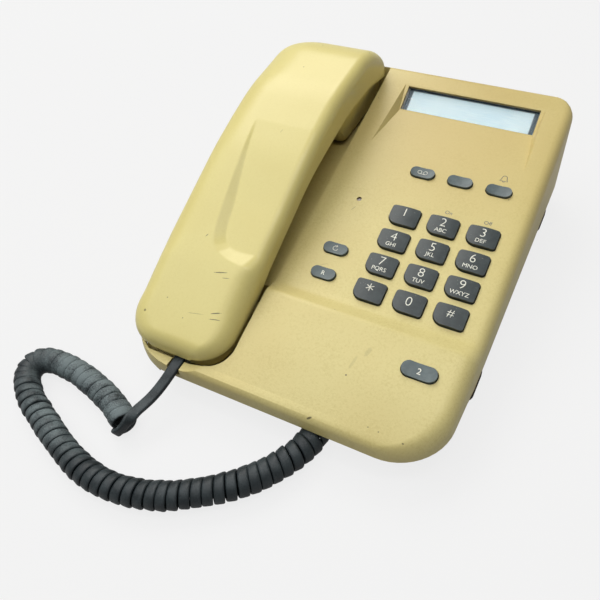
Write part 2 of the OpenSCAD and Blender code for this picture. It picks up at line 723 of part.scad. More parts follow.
// A socket open to -y, with a slot below for the plug's latch
module socket_body(width, height, depth, wall_out) {
    difference() {
        translate([-width/2 - wall_out, 0, -height/2 - wall_out])
            cube([width + 2*wall_out, depth + 2, height + 2*wall_out]);
        translate([-width/2, -1, -height/2]) cube([width, depth + 1, height]);
        translate([-latch_way/2, -1, -height/2 - wall_out - 1]) cube([latch_way, depth + 1, wall_out + 2]);
    }
}

module line_jack() {
    color("#2f3336") translate([line_socket_x, tub_back - tub_wall, line_socket_z]) rotate([0, 0, 180])
        socket_body(line_socket_width, line_socket_height, line_socket_depth - tub_wall, 1.6);
}

module base_cord_jack() {
    color("#2f3336") translate([channel_x, channel_end + 2, base_jack_z])
        socket_body(plug_width + 2*plug_gap, plug_height + 2*plug_gap, plug_length - 3, 1.4);
}

// ---- Handset ----

function handset_top() = rounded_path([
    [handset_y0, 24], [handset_y0, 30.3, 8.5, 5],
    [handset_y0 + 37.5, 48, 80, 4], [handset_y0 + 97.5, 71.5, 160, 4],
    [handset_y0 + 137.5, 83, 90, 4], [handset_y1 - 17, 87, 32, 6],
    [handset_y1, 64, 5, 3], [handset_y1, 58]]);
function handset_split() = rounded_path([
    [handset_y0 - 1, 24.3], [handset_y0 + 37.5, 32, 20, 3], [handset_y0 + 51.5, 40, 15, 3],
    [handset_y0 + 97.5, 58.5, 120, 3], [handset_y0 + 142.5, 67.5, 60, 3],
    [handset_y1 - 27.5, 67, 40, 3], [handset_y1 + 1, 60]]);
function handset_under() = rounded_path([
    [handset_y0 + 2.5, 16], [handset_y0 + 6, mouth_bottom, 4, 2],
    [handset_y0 + 34, mouth_bottom, 8, 3], [handset_y0 + 48, 31, 10, 3],
    [handset_y0 + 97.5, 50, 150, 3], [handset_y0 + 139, 61, 10, 3],
    [handset_y0 + 149.5, ear_bottom, 6, 3], [handset_y1 - 6, ear_bottom, 5, 2],
    [handset_y1 - 1.5, 49]]);

function mouth_draw(y, inset) = corner_draw(y - handset_y0 - inset, mouth_corner - inset);
function ear_amount(y) = span(y - handset_y0, 117, 162);
function handset_right(y, inset) = handset_width/2 + ear_spread*ear_amount(y) - inset
    - mouth_draw(y, inset) - corner_draw(handset_y1 - inset - y, ear_corner_right - inset);
function handset_left(y, inset) = handset_width/2 - inset
    - mouth_draw(y, inset) - corner_draw(handset_y1 - inset - y, ear_corner_left - inset);
function handset_stations(inset, middle) = let(
        y0 = handset_y0 + inset, y1 = handset_y1 - inset, a = mouth_corner - inset, b = ear_corner_left - inset)
    concat([for (t = [0:11.25:90]) y0 + a*(1 - cos(t))],
        [for (y = middle) if (y > y0 + a + 0.6 && y < y1 - b - 0.6) y],
        [for (t = [90:-9:0]) y1 - b*(1 - cos(t))]);
function upward(path) = [for (i = [0:len(path) - 1])
    if (i == 0 || path[i][0] > path[i - 1][0] + 0.001) path[i]];
function grip_amount(y) = span(y - handset_y0, 36, 50);

// The upper shell's form: rounded wide and low on the left, tightly on the right
module handset_upper_form(t, low_drop, sink = 0) {
    top = upward(handset_top());
    loft([for (y = handset_stations(t, [for (i = [0:24]) handset_y0 + 18 + 6.5*i]))
        let(z = lookup(min(max(y, handset_y0 + t), handset_y1 - t), top) - t - sink*grip_depth(y),
            low = min(lookup(y, handset_split()) - low_drop, z - 1.2),
            most = z - low - 0.5, g = grip_amount(y), e = ear_amount(y),
            right = section_corner(handset_right(y, t), z, max(0.5, min(11 - 5*g - t, most)), 0, 5),
            left = section_corner(handset_left(y, t), z, max(0.5, min(12 + 4*g + 6*e - t, most*2)), 0, 5,
                max(0.5, min(11 - 2*g + 2*e - t, most))))
        concat([[handset_x + handset_right(y, t), y, low]], [for (p = right) [handset_x + p[0], y, p[1]]],
            [for (i = [5:-1:0]) [handset_x - left[i][0], y, left[i][1]]],
            [[handset_x - handset_left(y, t), y, low]])]);
}

module handset_lower_form(t, rise) {
    under = upward(handset_under());
    inset = handset_wall + 0.2 + t;
    taper = lower_shell_inset - handset_wall - 0.2;
    loft([for (y = handset_stations(inset, [for (p = handset_under()) p[0]]))
        let(lip = t > 0 ? rise : rise*span(y - handset_y0, 22, 30)*span(handset_y1 - y, 8, 14),
            top = lookup(y, handset_split()) + lip, z = min(lookup(y, under) + t, top - 1),
            r = max(0.4, min(5 - t, (top - z)/2)),
            right = handset_right(y, inset), left = handset_left(y, inset))
        concat([for (p = section_corner(right - taper, z, r, -90, 4)) [handset_x + p[0], y, p[1]]],
            [[handset_x + right, y, top], [handset_x - left, y, top]],
            [for (p = section_corner(left - taper, z, r, -90, 4, undef, true)) [handset_x - p[0], y, p[1]]])]);
}

// Slots in a row that let sound through a cup's floor
module sound_slots(count, pitch, length, z0) {
    for (i = [0:count - 1]) let(x = (i - (count - 1)/2)*pitch, half = length(i)/2) hull()
        for (y = [-half, half]) translate([x, y, z0]) cylinder(r = 0.9, h = 8, $fn = 12);
}

// Everything left of the grip's ramp and in front of it
module grip_surround() {
    loft([for (k = [0:3]) let(over = k < 2 ? -0.4 : 1.4) concat(
        [for (p = grip_ramp) let(
                x = handset_x + p[0] + (p[2] - p[0])*over,
                y = handset_y0 + p[1] + (p[3] - p[1])*over)
            [x, y, k == 0 ? 140 : k == 3 ? 0
                : lookup(y, handset_top()) - over*max(0.7, grip_depth(handset_y0 + p[1]))]],
        [for (q = [[-45, 125], [-45, -5], [34, -5]]) [handset_x + q[0], handset_y0 + q[1],
            k == 0 ? 140 : k == 3 ? 0 : k == 1 ? 100 : 10]])]);
}

module handset_upper_shell() {
    color(cream) difference() {
        union() {
            difference() {
                union() {
                    handset_upper_form(0, 0, 1);
                    // What stands above the grip's sunken face
                    intersection() {
                        handset_upper_form(0, 0);
                        grip_surround();
                    }
                }
                handset_upper_form(handset_wall, 10, 1);
            }
            intersection() {
                handset_upper_form(handset_wall/2, -2.2, 1);
                for (y = handset_screw_y) translate([handset_x, y, 0])
                    cylinder(r = 3.2, h = 120, $fn = 24);
            }
            // Ribs that stiffen the grip
            intersection() {
                handset_upper_form(handset_wall/2, -2.5, 1);
                for (y = [handset_y0 + 45 : 8 : handset_y0 + 103]) hull()
                    for (side = [-1, 1]) translate([handset_x + side*24, y, lookup(y, handset_top()) - 9])
                        cylinder(r = 0.6, h = 9, $fn = 8);
            }
        }
        for (y = handset_screw_y) translate([handset_x, y, 0])
            cylinder(r = 1.2, h = lookup(y, handset_top()) - 5, $fn = 20);
    }
}

module handset_lower_shell() {
    color(cream_shade) difference() {
        union() {
            difference() {
                handset_lower_form(0, 2);
                handset_lower_form(handset_wall, 7);
            }
            intersection() {
                handset_lower_form(handset_wall/2, 0);
                for (y = handset_screw_y) translate([handset_x, y, 0]) cylinder(r = 4.4, h = 120, $fn = 28);
            }
        }
        for (y = handset_screw_y) translate([handset_x, y, 0]) {
            cylinder(r = 3, h = lookup(y, handset_split()) - 2.6, $fn = 28);
            cylinder(r = 1.6, h = 120, $fn = 20);
        }
        translate([handset_x, receiver_y, ear_bottom - 3])
            sound_slots(7, 3.6, function(i) 16 - 2.2*abs(i - 3)*abs(i - 3)*0.5, 0);
        translate([handset_x + 6, microphone_y, mouth_bottom - 3]) sound_slots(2, 3, function(i) 4, 0);
        translate([handset_jack_x - plug_width/2 - plug_gap, handset_y0,
            handset_jack_z - plug_height/2 - plug_gap])
            cube([plug_width + 2*plug_gap, 7, plug_height + 2*plug_gap]);
        translate([handset_jack_x - latch_way/2, handset_y0, handset_jack_z - plug_height/2 - 1.5])
            cube([latch_way, 7, 2]);
    }
}

module receiver_capsule() {
    color("#55585c") translate([handset_x, receiver_y, ear_bottom + handset_wall + 2.2]) {
        cylinder(r = receiver_radius, h = 5, $fn = 64);
        translate([0, 0, 5]) cylinder(r = 9, h = 5, $fn = 48);
    }
}

module receiver_gasket() {
    color(rubber_black) translate([handset_x, receiver_y, ear_bottom + handset_wall + 0.6]) difference() {
        cylinder(r = receiver_radius, h = 1.5, $fn = 64);
        translate([0, 0, -1]) cylinder(r = receiver_radius - 4, h = 4, $fn = 48);
    }
}

module microphone_holder() {
    color(rubber_black) translate([handset_x, microphone_y, mouth_bottom + handset_wall + 0.4]) difference() {
        cylinder(r = microphone_radius + 2, h = 7, $fn = 40);
        translate([0, 0, 1]) cylinder(r = microphone_radius, h = 7, $fn = 40);
        translate([0, 0, -1]) cylinder(r = 1.5, h = 4, $fn = 24);
    }
}

module microphone_capsule() {
    color("#9a9c9e") translate([handset_x, microphone_y, mouth_bottom + handset_wall + 1.4])
        cylinder(r = microphone_radius - 0.1, h = 5, $fn = 40);
}

module handset_weight() {
    y = handset_y0 + 70;
    color(steel) translate([handset_x, y, lookup(y, handset_under()) + handset_wall + 1.2])
        rotate([21, 0, 0]) translate([-10, 0, 0]) cube([20, 26, 6]);
}

module handset_cord_jack() {
    color("#2f3336") translate([handset_jack_x, handset_y0 + 6.6, handset_jack_z])
        socket_body(plug_width + 2*plug_gap, plug_height + 2*plug_gap, plug_length - 3, 1.2);
}

module handset_screws() {
    color(steel) for (y = handset_screw_y) translate([handset_x, y, lookup(y, handset_split()) - 2.6]) {
        translate([0, 0, -1.8]) cylinder(r = 2.6, h = 1.8, $fn = 28);
        cylinder(r = 1.1, h = 9, $fn = 20);
    }
}

// ---- Cord ----

// A tube swept along a route, wider across than it is high when it carries a flat lead
module swept_tube(route, half_width, half_height, sides) {
    last = len(route) - 1;
    rings = [for (k = [0:last]) let(
            along = unit(route[min(k + 1, last)] - route[max(k - 1, 0)]),
            across = unit(cross(along, [0, 0, 1])), up = cross(across, along))
        [for (i = [0:sides - 1]) let(a = 360*(i + 0.5)/sides)
            route[k] + half_width*cos(a)*across + half_height*sin(a)*up]];
    loft(rings);
}

module plug() {
    difference() {
        translate([-plug_width/2, 0, -plug_height/2]) cube([plug_width, plug_length, plug_height]);
        for (i = [-1.5:1:1.5]) translate([i*1.02 - 0.25, plug_length - 4, plug_height/2 - 1.2])
            cube([0.5, 5, 2]);
    }
    translate([-1.6, 0, -plug_height/2 - 1.1]) cube([3.2, plug_length - 3.5, 0.8]);
    translate([-1.6, plug_length - 4.4, -plug_height/2 - 1.1]) cube([3.2, 0.9, 1.4]);
}

module handset_plug() {
    color("#c9d2d6") translate([handset_jack_x, handset_y0 + 1.5, handset_jack_z]) plug();
}

module base_plug() {
    color("#c9d2d6") translate([channel_x, channel_end - 1, base_jack_z]) plug();
}

module coiled_cord() {
    color(cord_black) swept_tube(coil_route, coil_radius, coil_radius - 0.05, 12);
}

module handset_lead() {
    color(cord_black) swept_tube(handset_lead_route, lead_width/2, lead_thickness/2, 8);
}

module base_lead() {
    color(cord_black) swept_tube(base_lead_route, lead_width/2, lead_thickness/2, 8);
}

upper_housing();
lower_housing();
rubber_feet();
base_screws();
display_window();
lcd_panel();
lcd_holder();
main_board();
board_screws();
keypad_membrane();
dial_key(0);  // key_1
dial_key(1);  // key_2
dial_key(2);  // key_3
dial_key(3);  // key_4
dial_key(4);  // key_5
dial_key(5);  // key_6
dial_key(6);  // key_7
dial_key(7);  // key_8
dial_key(8);  // key_9
dial_key(9);  // key_star
dial_key(10);  // key_0
dial_key(11);  // key_hash
function_key(0);  // function_key_left
function_key(1);  // function_key_middle
function_key(2);  // function_key_right
function_key(3);  // redial_key
function_key(4);  // recall_key
second_call_key();
call_lamp();
hook_plunger();
hook_spring();
hook_switch();
ringer();
line_jack();
base_cord_jack();
handset_upper_shell();
handset_lower_shell();
receiver_capsule();
receiver_gasket();
microphone_capsule();
microphone_holder();
handset_weight();
handset_cord_jack();
handset_screws();
handset_plug();
handset_lead();
coiled_cord();
base_lead();
base_plug();
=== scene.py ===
import math
import random

import bmesh
import bpy
from mathutils import Matrix, Vector
from mathutils.bvhtree import BVHTree


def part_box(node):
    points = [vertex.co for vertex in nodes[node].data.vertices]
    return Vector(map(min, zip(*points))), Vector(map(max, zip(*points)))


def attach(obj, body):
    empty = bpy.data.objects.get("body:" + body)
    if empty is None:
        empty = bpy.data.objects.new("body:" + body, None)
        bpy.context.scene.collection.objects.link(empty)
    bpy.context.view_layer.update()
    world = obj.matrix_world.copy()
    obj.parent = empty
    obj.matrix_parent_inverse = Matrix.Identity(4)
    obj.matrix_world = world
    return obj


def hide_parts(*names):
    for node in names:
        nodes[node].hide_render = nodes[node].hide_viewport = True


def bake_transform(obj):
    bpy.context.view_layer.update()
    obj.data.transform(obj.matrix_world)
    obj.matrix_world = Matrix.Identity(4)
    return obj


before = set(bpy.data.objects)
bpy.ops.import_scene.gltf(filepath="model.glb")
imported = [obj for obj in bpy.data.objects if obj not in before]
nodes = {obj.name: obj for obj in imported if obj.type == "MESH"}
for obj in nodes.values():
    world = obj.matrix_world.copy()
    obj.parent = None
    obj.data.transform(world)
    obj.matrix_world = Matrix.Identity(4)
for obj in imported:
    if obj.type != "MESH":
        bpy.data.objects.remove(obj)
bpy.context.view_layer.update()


# ---- Camera, floor and light ----
# A plain studio: a pale floor, one broad window-like light from the back left that leaves the
# right wall in shade, and a soft fill. The camera looks down from in front and to the right.

MM = 0.001
SENSOR_WIDTH, FOCAL_LENGTH = 36, 39.004
CAMERA_PLACE = Matrix((
    (0.8857228, -0.2949550, 0.3584643, 0.104106),
    (0.4548747, 0.7055713, -0.5433767, -0.219467),
    (-0.0926505, 0.6443375, 0.7591081, 0.265745),
    (0, 0, 0, 1)))

camera = bpy.data.objects.new("camera", bpy.data.cameras.new("camera"))
bpy.context.scene.collection.objects.link(camera)
camera.data.sensor_width, camera.data.lens = SENSOR_WIDTH, FOCAL_LENGTH
camera.data.clip_start = 10 * MM
camera.matrix_world = CAMERA_PLACE
bpy.context.scene.camera = camera


class Shade:
    """One output of a material's nodes. Python arithmetic on it adds Math nodes."""

    def __init__(self, tree, socket=None):
        self.tree, self.socket = tree, socket

    def node(self, kind, settings=None, out=0, **values):
        """Adds a node, sets its settings, then its inputs by name (spaces as _) or by i and a
        number. out picks the output, or a tuple of them."""
        made = self.tree.nodes.new(kind)
        for name, value in (settings or {}).items():
            setattr(made, name, value)
        for name, value in values.items():
            numbered = name[0] == "i" and name[1:].isdigit()
            socket = made.inputs[int(name[1:]) if numbered else name.replace("_", " ")]
            if isinstance(value, Shade):
                self.tree.links.new(value.socket, socket)
            else:
                socket.default_value = value
        if isinstance(out, tuple):
            return [Shade(self.tree, made.outputs[each]) for each in out]
        return Shade(self.tree, made.outputs[out]) if len(made.outputs) else None

    def math(self, operation, a, b):
        return self.node("ShaderNodeMath", {"operation": operation}, i0=a, i1=b)

    def __add__(self, other): return self.math("ADD", self, other)
    def __radd__(self, other): return self.math("ADD", other, self)
    def __sub__(self, other): return self.math("SUBTRACT", self, other)
    def __rsub__(self, other): return self.math("SUBTRACT", other, self)
    def __mul__(self, other): return self.math("MULTIPLY", self, other)
    def __rmul__(self, other): return self.math("MULTIPLY", other, self)

    def step(self, low, high):
        """0 below low, 1 above high, smooth between."""
        return self.node("ShaderNodeMapRange", {"interpolation_type": "SMOOTHSTEP"},
                         i0=self, i1=low, i2=high, i3=0.0, i4=1.0)

    def mix(self, a, b):
        """Colour a where this is 0, colour b where it is 1."""
        a, b = ((*c, 1) if isinstance(c, tuple) and len(c) == 3 else c for c in (a, b))
        return self.node("ShaderNodeMix", {"data_type": "RGBA"}, out=2, i0=self, i6=a, i7=b)

    def noise(self, scale, detail=3.0, rough=0.5):
        """Cloudy noise round 0.5 at this place, scale in features a metre."""
        return self.node("ShaderNodeTexNoise", Vector=self, Scale=scale, Detail=detail,
                         Roughness=rough)

    def near(self, point, low, high):
        """1 within low metres of a point, 0 beyond high."""
        away = self.node("ShaderNodeVectorMath", {"operation": "DISTANCE"}, out=1,
                         i0=self, i1=point)
        return 1 - away.step(low, high)


def new_material(name):
    """An empty material, its start and the place on the object in metres."""
    material = bpy.data.materials.new(name)
    material.use_nodes = True
    material.node_tree.nodes.clear()
    start = Shade(material.node_tree)
    return material, start, start.node("ShaderNodeTexCoord", out="Object")


def surface(start, **sockets):
    """The shader and the output at the end of a material."""
    shader = start.node("ShaderNodeBsdfPrincipled", **sockets)
    start.node("ShaderNodeOutputMaterial", Surface=shader)


def grain_bump(start, height, strength, depth):
    """A normal that follows a height, in a relief of depth metres."""
    return start.node("ShaderNodeBump", Strength=strength, Distance=depth, Height=height)


def deselect():
    for each in bpy.context.selected_objects:
        each.select_set(False)


def select_only(piece):
    deselect()
    piece.select_set(True)
    bpy.context.view_layer.objects.active = piece


FLOOR_SIZE, FLOOR_GREY = 8, 0.42

deselect()
bpy.ops.mesh.primitive_plane_add(size=FLOOR_SIZE, location=(0, 0, 0))
floor = bpy.context.object
floor.name = "floor"


def backdrop_share(start, direct, reflected):
    """How white the backdrop is: one share straight from the camera, one by gloss or glass."""
    camera_ray, gloss, through = start.node(
        "ShaderNodeLightPath", out=("Is Camera Ray", "Is Glossy Ray", "Is Transmission Ray"))
    return start.math("MAXIMUM", camera_ray * direct,
                      start.math("MAXIMUM", gloss, through) * reflected)


floor_material, start, place = new_material("pale_floor")
paper = start.node("ShaderNodeBsdfDiffuse", Color=(FLOOR_GREY, FLOOR_GREY, FLOOR_GREY, 1))
white = start.node("ShaderNodeEmission", Color=(1, 1, 1, 1), Strength=1.0)
start.node("ShaderNodeOutputMaterial", Surface=start.node(
    "ShaderNodeMixShader", i0=backdrop_share(start, 0.80, 0.25), i1=paper, i2=white))
floor.data.materials.append(floor_material)

world = bpy.data.worlds.new("studio")
bpy.context.scene.world = world
world.use_nodes = True
world.node_tree.nodes.clear()
start = Shade(world.node_tree)
fill = start.node("ShaderNodeBackground", Color=(1, 0.99, 0.97, 1), Strength=0.17)
white = start.node("ShaderNodeBackground", Color=(1, 1, 1, 1), Strength=1.0)
start.node("ShaderNodeOutputWorld", Surface=start.node(
    "ShaderNodeMixShader", i0=backdrop_share(start, 1.0, 0.3), i1=fill, i2=white))


def area_light(name, place, target, size, power, colour=(1, 1, 1)):
    """A soft rectangular lamp at a place, turned to a target: metres, and watts."""
    light = bpy.data.objects.new(name, bpy.data.lights.new(name, "AREA"))
    bpy.context.scene.collection.objects.link(light)
    light.data.shape, light.data.size, light.data.size_y = "RECTANGLE", size[0], size[1]
    light.data.energy, light.data.color = power, colour
    light.location = place
    light.rotation_euler = (Vector(target) - Vector(place)).to_track_quat("-Z", "Y").to_euler()


area_light("window", (-0.80, 0.95, 1.45), (0, 0, 0.03), (1.1, 0.9), 18, (1, 0.97, 0.925))
area_light("sky", (-1.0, -0.1, 1.3), (0, 0, 0.03), (1.2, 1.2), 9.5, (0.97, 0.985, 1))
area_light("ceiling", (-0.15, -0.55, 1.5), (0, 0, 0), (1.3, 1.3), 7.5)
area_light("tube", (0.25, 0.05, 1.3), (-0.04, 0.0, 0.05), (0.09, 0.75), 3.2)

bpy.context.scene.view_settings.view_transform = "Standard"


# ---- Curly cord ----
# A flat vinyl lead leaves the plug in the handset, becomes the first turn of the coil and goes
# on as one strip wound edge to edge, then runs flat again under the base to the other plug.

LEAD_ROUTE = [
    (-48.2, -97, 19.6), (-48.2, -99.5, 19.6), (-48.3, -102.5, 19.2), (-48.8, -106, 18.1),
    (-49.7, -110, 16.4), (-50.8, -114.5, 14.8), (-52.1, -119, 13.6), (-53.5, -123, 12.9),
    (-54.7, -126.6, 12.6), (-55.6, -129.9, 12.0)]
LEAD_WRAP = [                       # where the lead turns over the coil's open end
    (-56.5, -132.6, 10.8), (-57.6, -134.9, 9.1), (-59.1, -137.0, 7.3), (-60.9, -138.0, 5.6),
    (-61.9, -137.4, 4.6), (-61.66, -136.51, 4.29)]
COIL_ROUTE = [
    (-59.5, -132.3), (-64, -130), (-70, -127), (-78, -124), (-87, -121.5), (-96, -119.5),
    (-105, -118.5), (-114, -118.5), (-120, -120), (-123.5, -123.5), (-123.5, -128.5),
    (-121, -133), (-116.5, -137), (-110, -141.5), (-101, -145.5), (-92, -149.5), (-82, -153.5),
    (-72, -157), (-62, -159.5), (-51, -160.5), (-40, -159.5), (-30, -157), (-20, -153),
    (-11, -147.5), (-3, -142), (4, -136), (11, -128.5), (16.5, -120.5), (21, -112),
    (23.5, -103.5), (24, -95), (24, -86)]
BASE_LEAD_ROUTE = [
    (24, -77, 7.2), (24, -71, 7.6), (24, -65, 8.2), (24, -59, 8.8), (24, -56, 8.95),
    (24, -54, 8.95)]
COIL_HEIGHT = 6.5
TURN_RADIUS = 5.35
TURN_PITCH = 4.9
STRIP_WIDTH, STRIP_THICK = 4.75, 2.1
LEAD_WIDTH, LEAD_THICK = 5.5, 2.6
SQUARENESS = 0.5                    # of the strip's section, where 1 would be round
AXIS_STEP = 0.1                     # between the points that the coil's axis is kept as
AXIS_REACH = 8                      # of those points, each way, that give the axis its heading
LEAD_STEP = 0.7
TURN_STEPS = 26
FIRST_ANGLE = -115                  # where the first turn starts, from the top, in degrees
COIL_END_X, COIL_END_Y = 20, -89    # past both, the cord is in its channel and the turns end
OPENING_TURNS = 0.8                 # share of the last turn that opens into the flat lead
UNWIND = 12                         # length over which it opens
STRIP_LEAN, LEAN_VARIES = 8, 5      # each turn laps a little over the next, in degrees
CAP_LEAN = math.radians(30)         # the first turn leans in over the coil's open end
RADIUS_VARIES, PITCH_VARIES = 0.2, 0.4
BEND_AT, BEND_REACH, BEND_CROWDING = 72, 17, 1.7
WRAP_FROM = 0.66                    # share of the lead after which it turns into the strip
UNEVEN_TURNS = 140                  # more than the coil has
STRAIGHT_SKIP, STRAIGHT_GAP = 8, 0.7


def smooth_route(points, step):
    """Points every step along a Catmull-Rom curve through the given ones."""
    points = [Vector(p) for p in points]
    padded = [2 * points[0] - points[1], *points, 2 * points[-1] - points[-2]]
    fine, parts = [], 24
    for i in range(1, len(padded) - 2):
        a, b, c, d = padded[i - 1:i + 3]
        for k in range(parts):
            t = k / parts
            fine.append(0.5 * (2 * b + (c - a) * t + (2 * a - 5 * b + 4 * c - d) * t * t
                               + (3 * b - 3 * c + d - a) * t ** 3))
    fine.append(points[-1])
    even, left = [fine[0]], step
    for p, q in zip(fine, fine[1:]):
        along = (q - p).length
        while along >= left > 0:
            p = p + (q - p) * (left / along)
            even.append(p)
            along, left = along - left, step
        left -= along
    return even


def new_piece(name, points, faces, merge=0):
    """An object from its points and faces, turned outwards, selected on its own."""
    mesh = bpy.data.meshes.new(name)
    mesh.from_pydata(points, [], faces)
    made = bmesh.new()
    made.from_mesh(mesh)
    if merge:
        bmesh.ops.remove_doubles(made, verts=made.verts, dist=merge)
    bmesh.ops.recalc_face_normals(made, faces=made.faces)
    made.to_mesh(mesh)
    made.free()
    piece = bpy.data.objects.new(name, mesh)
    bpy.context.scene.collection.objects.link(piece)
    select_only(piece)
    return piece


def tube_faces(rows, wide):
    """The faces of a closed tube of rows of points, with its two ends."""
    faces = [(k * wide + i, k * wide + (i + 1) % wide, (k + 1) * wide + (i + 1) % wide,
              (k + 1) * wide + i) for k in range(rows - 1) for i in range(wide)]
    return faces + [tuple(reversed(range(wide))), tuple(range((rows - 1) * wide, rows * wide))]


def strip_piece(name, stations, sides=12):
    """A flat strip with rounded edges along stations of (point, out, width, thickness, tilt),
    in millimetres and radians."""
    rings = []
    for k, (point, out, width, thick, tilt) in enumerate(stations):
        before, after = stations[max(k - 1, 0)][0], stations[min(k + 1, len(stations) - 1)][0]
        along = (after - before).normalized()
        across = along.cross(out).normalized()
        out = across.cross(along).normalized()
        across, out = (across * math.cos(tilt) + out * math.sin(tilt),
                       out * math.cos(tilt) - across * math.sin(tilt))
        for i in range(sides):
            a = 2 * math.pi * (i + 0.5) / sides
            x, y = math.cos(a), math.sin(a)
            x, y = (math.copysign(abs(each) ** SQUARENESS, each) for each in (x, y))
            rings.append(MM * (point + across * (width / 2 * x) + out * (thick / 2 * y)))
    piece = new_piece(name, rings, tube_faces(len(stations), sides))
    piece.data.shade_smooth()
    return piece, [tuple(MM * s[0]) for s in stations]


UP = Vector((0, 0, 1))
coil_axis = smooth_route([(x, y, COIL_HEIGHT) for x, y in COIL_ROUTE] + BASE_LEAD_ROUTE, AXIS_STEP)
coil_end = AXIS_STEP * min(
    i for i, p in enumerate(coil_axis) if p.x > COIL_END_X and p.y > COIL_END_Y)


def round_axis(distance, angle, radius):
    """A point at an angle round the coil's axis, the way out from the axis, and the way ahead."""
    spot = min(max(distance / AXIS_STEP, 0), len(coil_axis) - 2)
    i = int(spot)
    centre = coil_axis[i].lerp(coil_axis[i + 1], spot - i)
    after = coil_axis[min(i + AXIS_REACH, len(coil_axis) - 1)]
    ahead = (after - coil_axis[max(i - AXIS_REACH, 0)]).normalized()
    centre = centre + ahead * min(distance, 0)
    side = ahead.cross(UP).normalized()
    outward = side * math.sin(angle) + UP * math.cos(angle)
    return centre + outward * radius, outward, ahead


def local_pitch(distance):
    """The turns crowd where the coil is bent back on itself."""
    nearness = max(0, 1 - abs(distance - BEND_AT) / BEND_REACH)
    return TURN_PITCH - BEND_CROWDING * nearness ** 0.7


chance = random.Random(7)
stations, turn, distance = [], 0.0, 0.0
uneven = [[chance.uniform(-1, 1) for _ in range(3)] for _ in range(UNEVEN_TURNS)]
turn_total = None
while turn_total is None or turn < turn_total:
    share = turn - int(turn)
    tilt, radial, shift = (a * (1 - share) + b * share
                           for a, b in zip(uneven[int(turn)], uneven[int(turn) + 1]))
    if turn_total is None and distance > coil_end - TURN_PITCH:
        turn_total = math.floor(turn) + 1 + (360 + FIRST_ANGLE) / 360
    opening = max(0, (turn - turn_total) / OPENING_TURNS + 1) if turn_total else 0
    radius = (TURN_RADIUS + RADIUS_VARIES * radial) * (1 - opening * opening * (3 - 2 * opening))
    angle = math.radians(FIRST_ANGLE) - 2 * math.pi * turn
    point, outward, ahead = round_axis(distance + UNWIND * opening ** 2, angle, radius)
    point = point + ahead * (PITCH_VARIES * shift * min(turn, 1) * (1 - opening))
    lean = math.radians(STRIP_LEAN + LEAN_VARIES * tilt) * min(turn * 2, 1)
    lean += CAP_LEAN * max(0, 1 - turn * 1.2)
    stations.append((point, outward, STRIP_WIDTH, STRIP_THICK, lean * (1 - opening)))
    turn += 1 / TURN_STEPS
    distance += local_pitch(distance) / TURN_STEPS
last = stations[-1][0]
straight = coil_axis[int((distance + UNWIND) / AXIS_STEP)::STRAIGHT_SKIP]
stations += [(p, UP, STRIP_WIDTH, STRIP_THICK, 0) for p in straight
             if p.y > last.y + STRAIGHT_GAP]
coil, coil_path = strip_piece("curly_cord", stations)

lead_points = smooth_route(LEAD_ROUTE + LEAD_WRAP, LEAD_STEP)
first_out = stations[0][1]
end_face = (coil_axis[0] - coil_axis[10]).normalized()
lead_stations = []
for k, point in enumerate(lead_points):
    wrap = max(0, (k / (len(lead_points) - 1) - WRAP_FROM) / (1 - WRAP_FROM))
    turned = UP.lerp(end_face, min(1, wrap * 2)).lerp(first_out, max(0, wrap * 2 - 1))
    lead_stations.append((point, turned.normalized(),
                          LEAD_WIDTH + (STRIP_WIDTH - LEAD_WIDTH) * wrap,
                          LEAD_THICK + (STRIP_THICK - LEAD_THICK) * wrap, 0))
lead, lead_path = strip_piece("handset_flat_lead", lead_stations, sides=16)

for piece, path, worn_nodes, lay, wide in (
        (lead, lead_path, ("handset_lead",), "loose", LEAD_WIDTH),
        (coil, coil_path, ("coiled_cord", "base_lead"), "coiled", STRIP_WIDTH)):
    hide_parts(*worn_nodes)
    wide * MM
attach(coil, "base")
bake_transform(lead)


def vinyl(name, handling):
    """Dark grey PVC, finely pitted, with pale dust on the side that faces up where hands go."""
    material, start, place = new_material(name)
    facing = start.node("ShaderNodeSeparateXYZ", out="Z",
                        Vector=start.node("ShaderNodeNewGeometry", out="Normal"))
    patches = place.noise(140.0, 3.0)
    fine = place.noise(1500.0, 4.0, 0.65)
    handled = place.near((-0.084, -0.122, 0.012), 0.016, 0.046) * handling
    dust = facing.step(-0.4, 0.8) * (fine * 0.55 + patches * 0.65).step(0.36, 0.80)
    dusty = start.math("MINIMUM", dust * (handled * 1.5 + 0.16), 1.0)
    flecks = place.noise(800.0, 2.0).step(0.70, 0.76) * patches.step(0.5, 0.62)
    base = patches.step(0.3, 0.7).mix((0.0045, 0.0085, 0.0110), (0.0085, 0.0140, 0.0175))
    colour = dusty.mix(base, (0.15, 0.185, 0.19))
    colour = (flecks * 0.5).mix(colour, (0.30, 0.30, 0.27))
    surface(start, Base_Color=colour, Roughness=0.44 + dusty * 0.3, IOR=1.40,
            Normal=grain_bump(start, fine, 0.35, 0.2 * MM))
    return material


coil.data.materials.append(vinyl("cord_vinyl_coil", 1.0))
lead.data.materials.append(vinyl("cord_vinyl_lead", 0.15))


# ---- Housing ----
# Two injection-moulded shells of cream plastic that has yellowed with age: a satin upper one
# with a fine moulded grain, and a duller tub under it, closed from below by four screws.

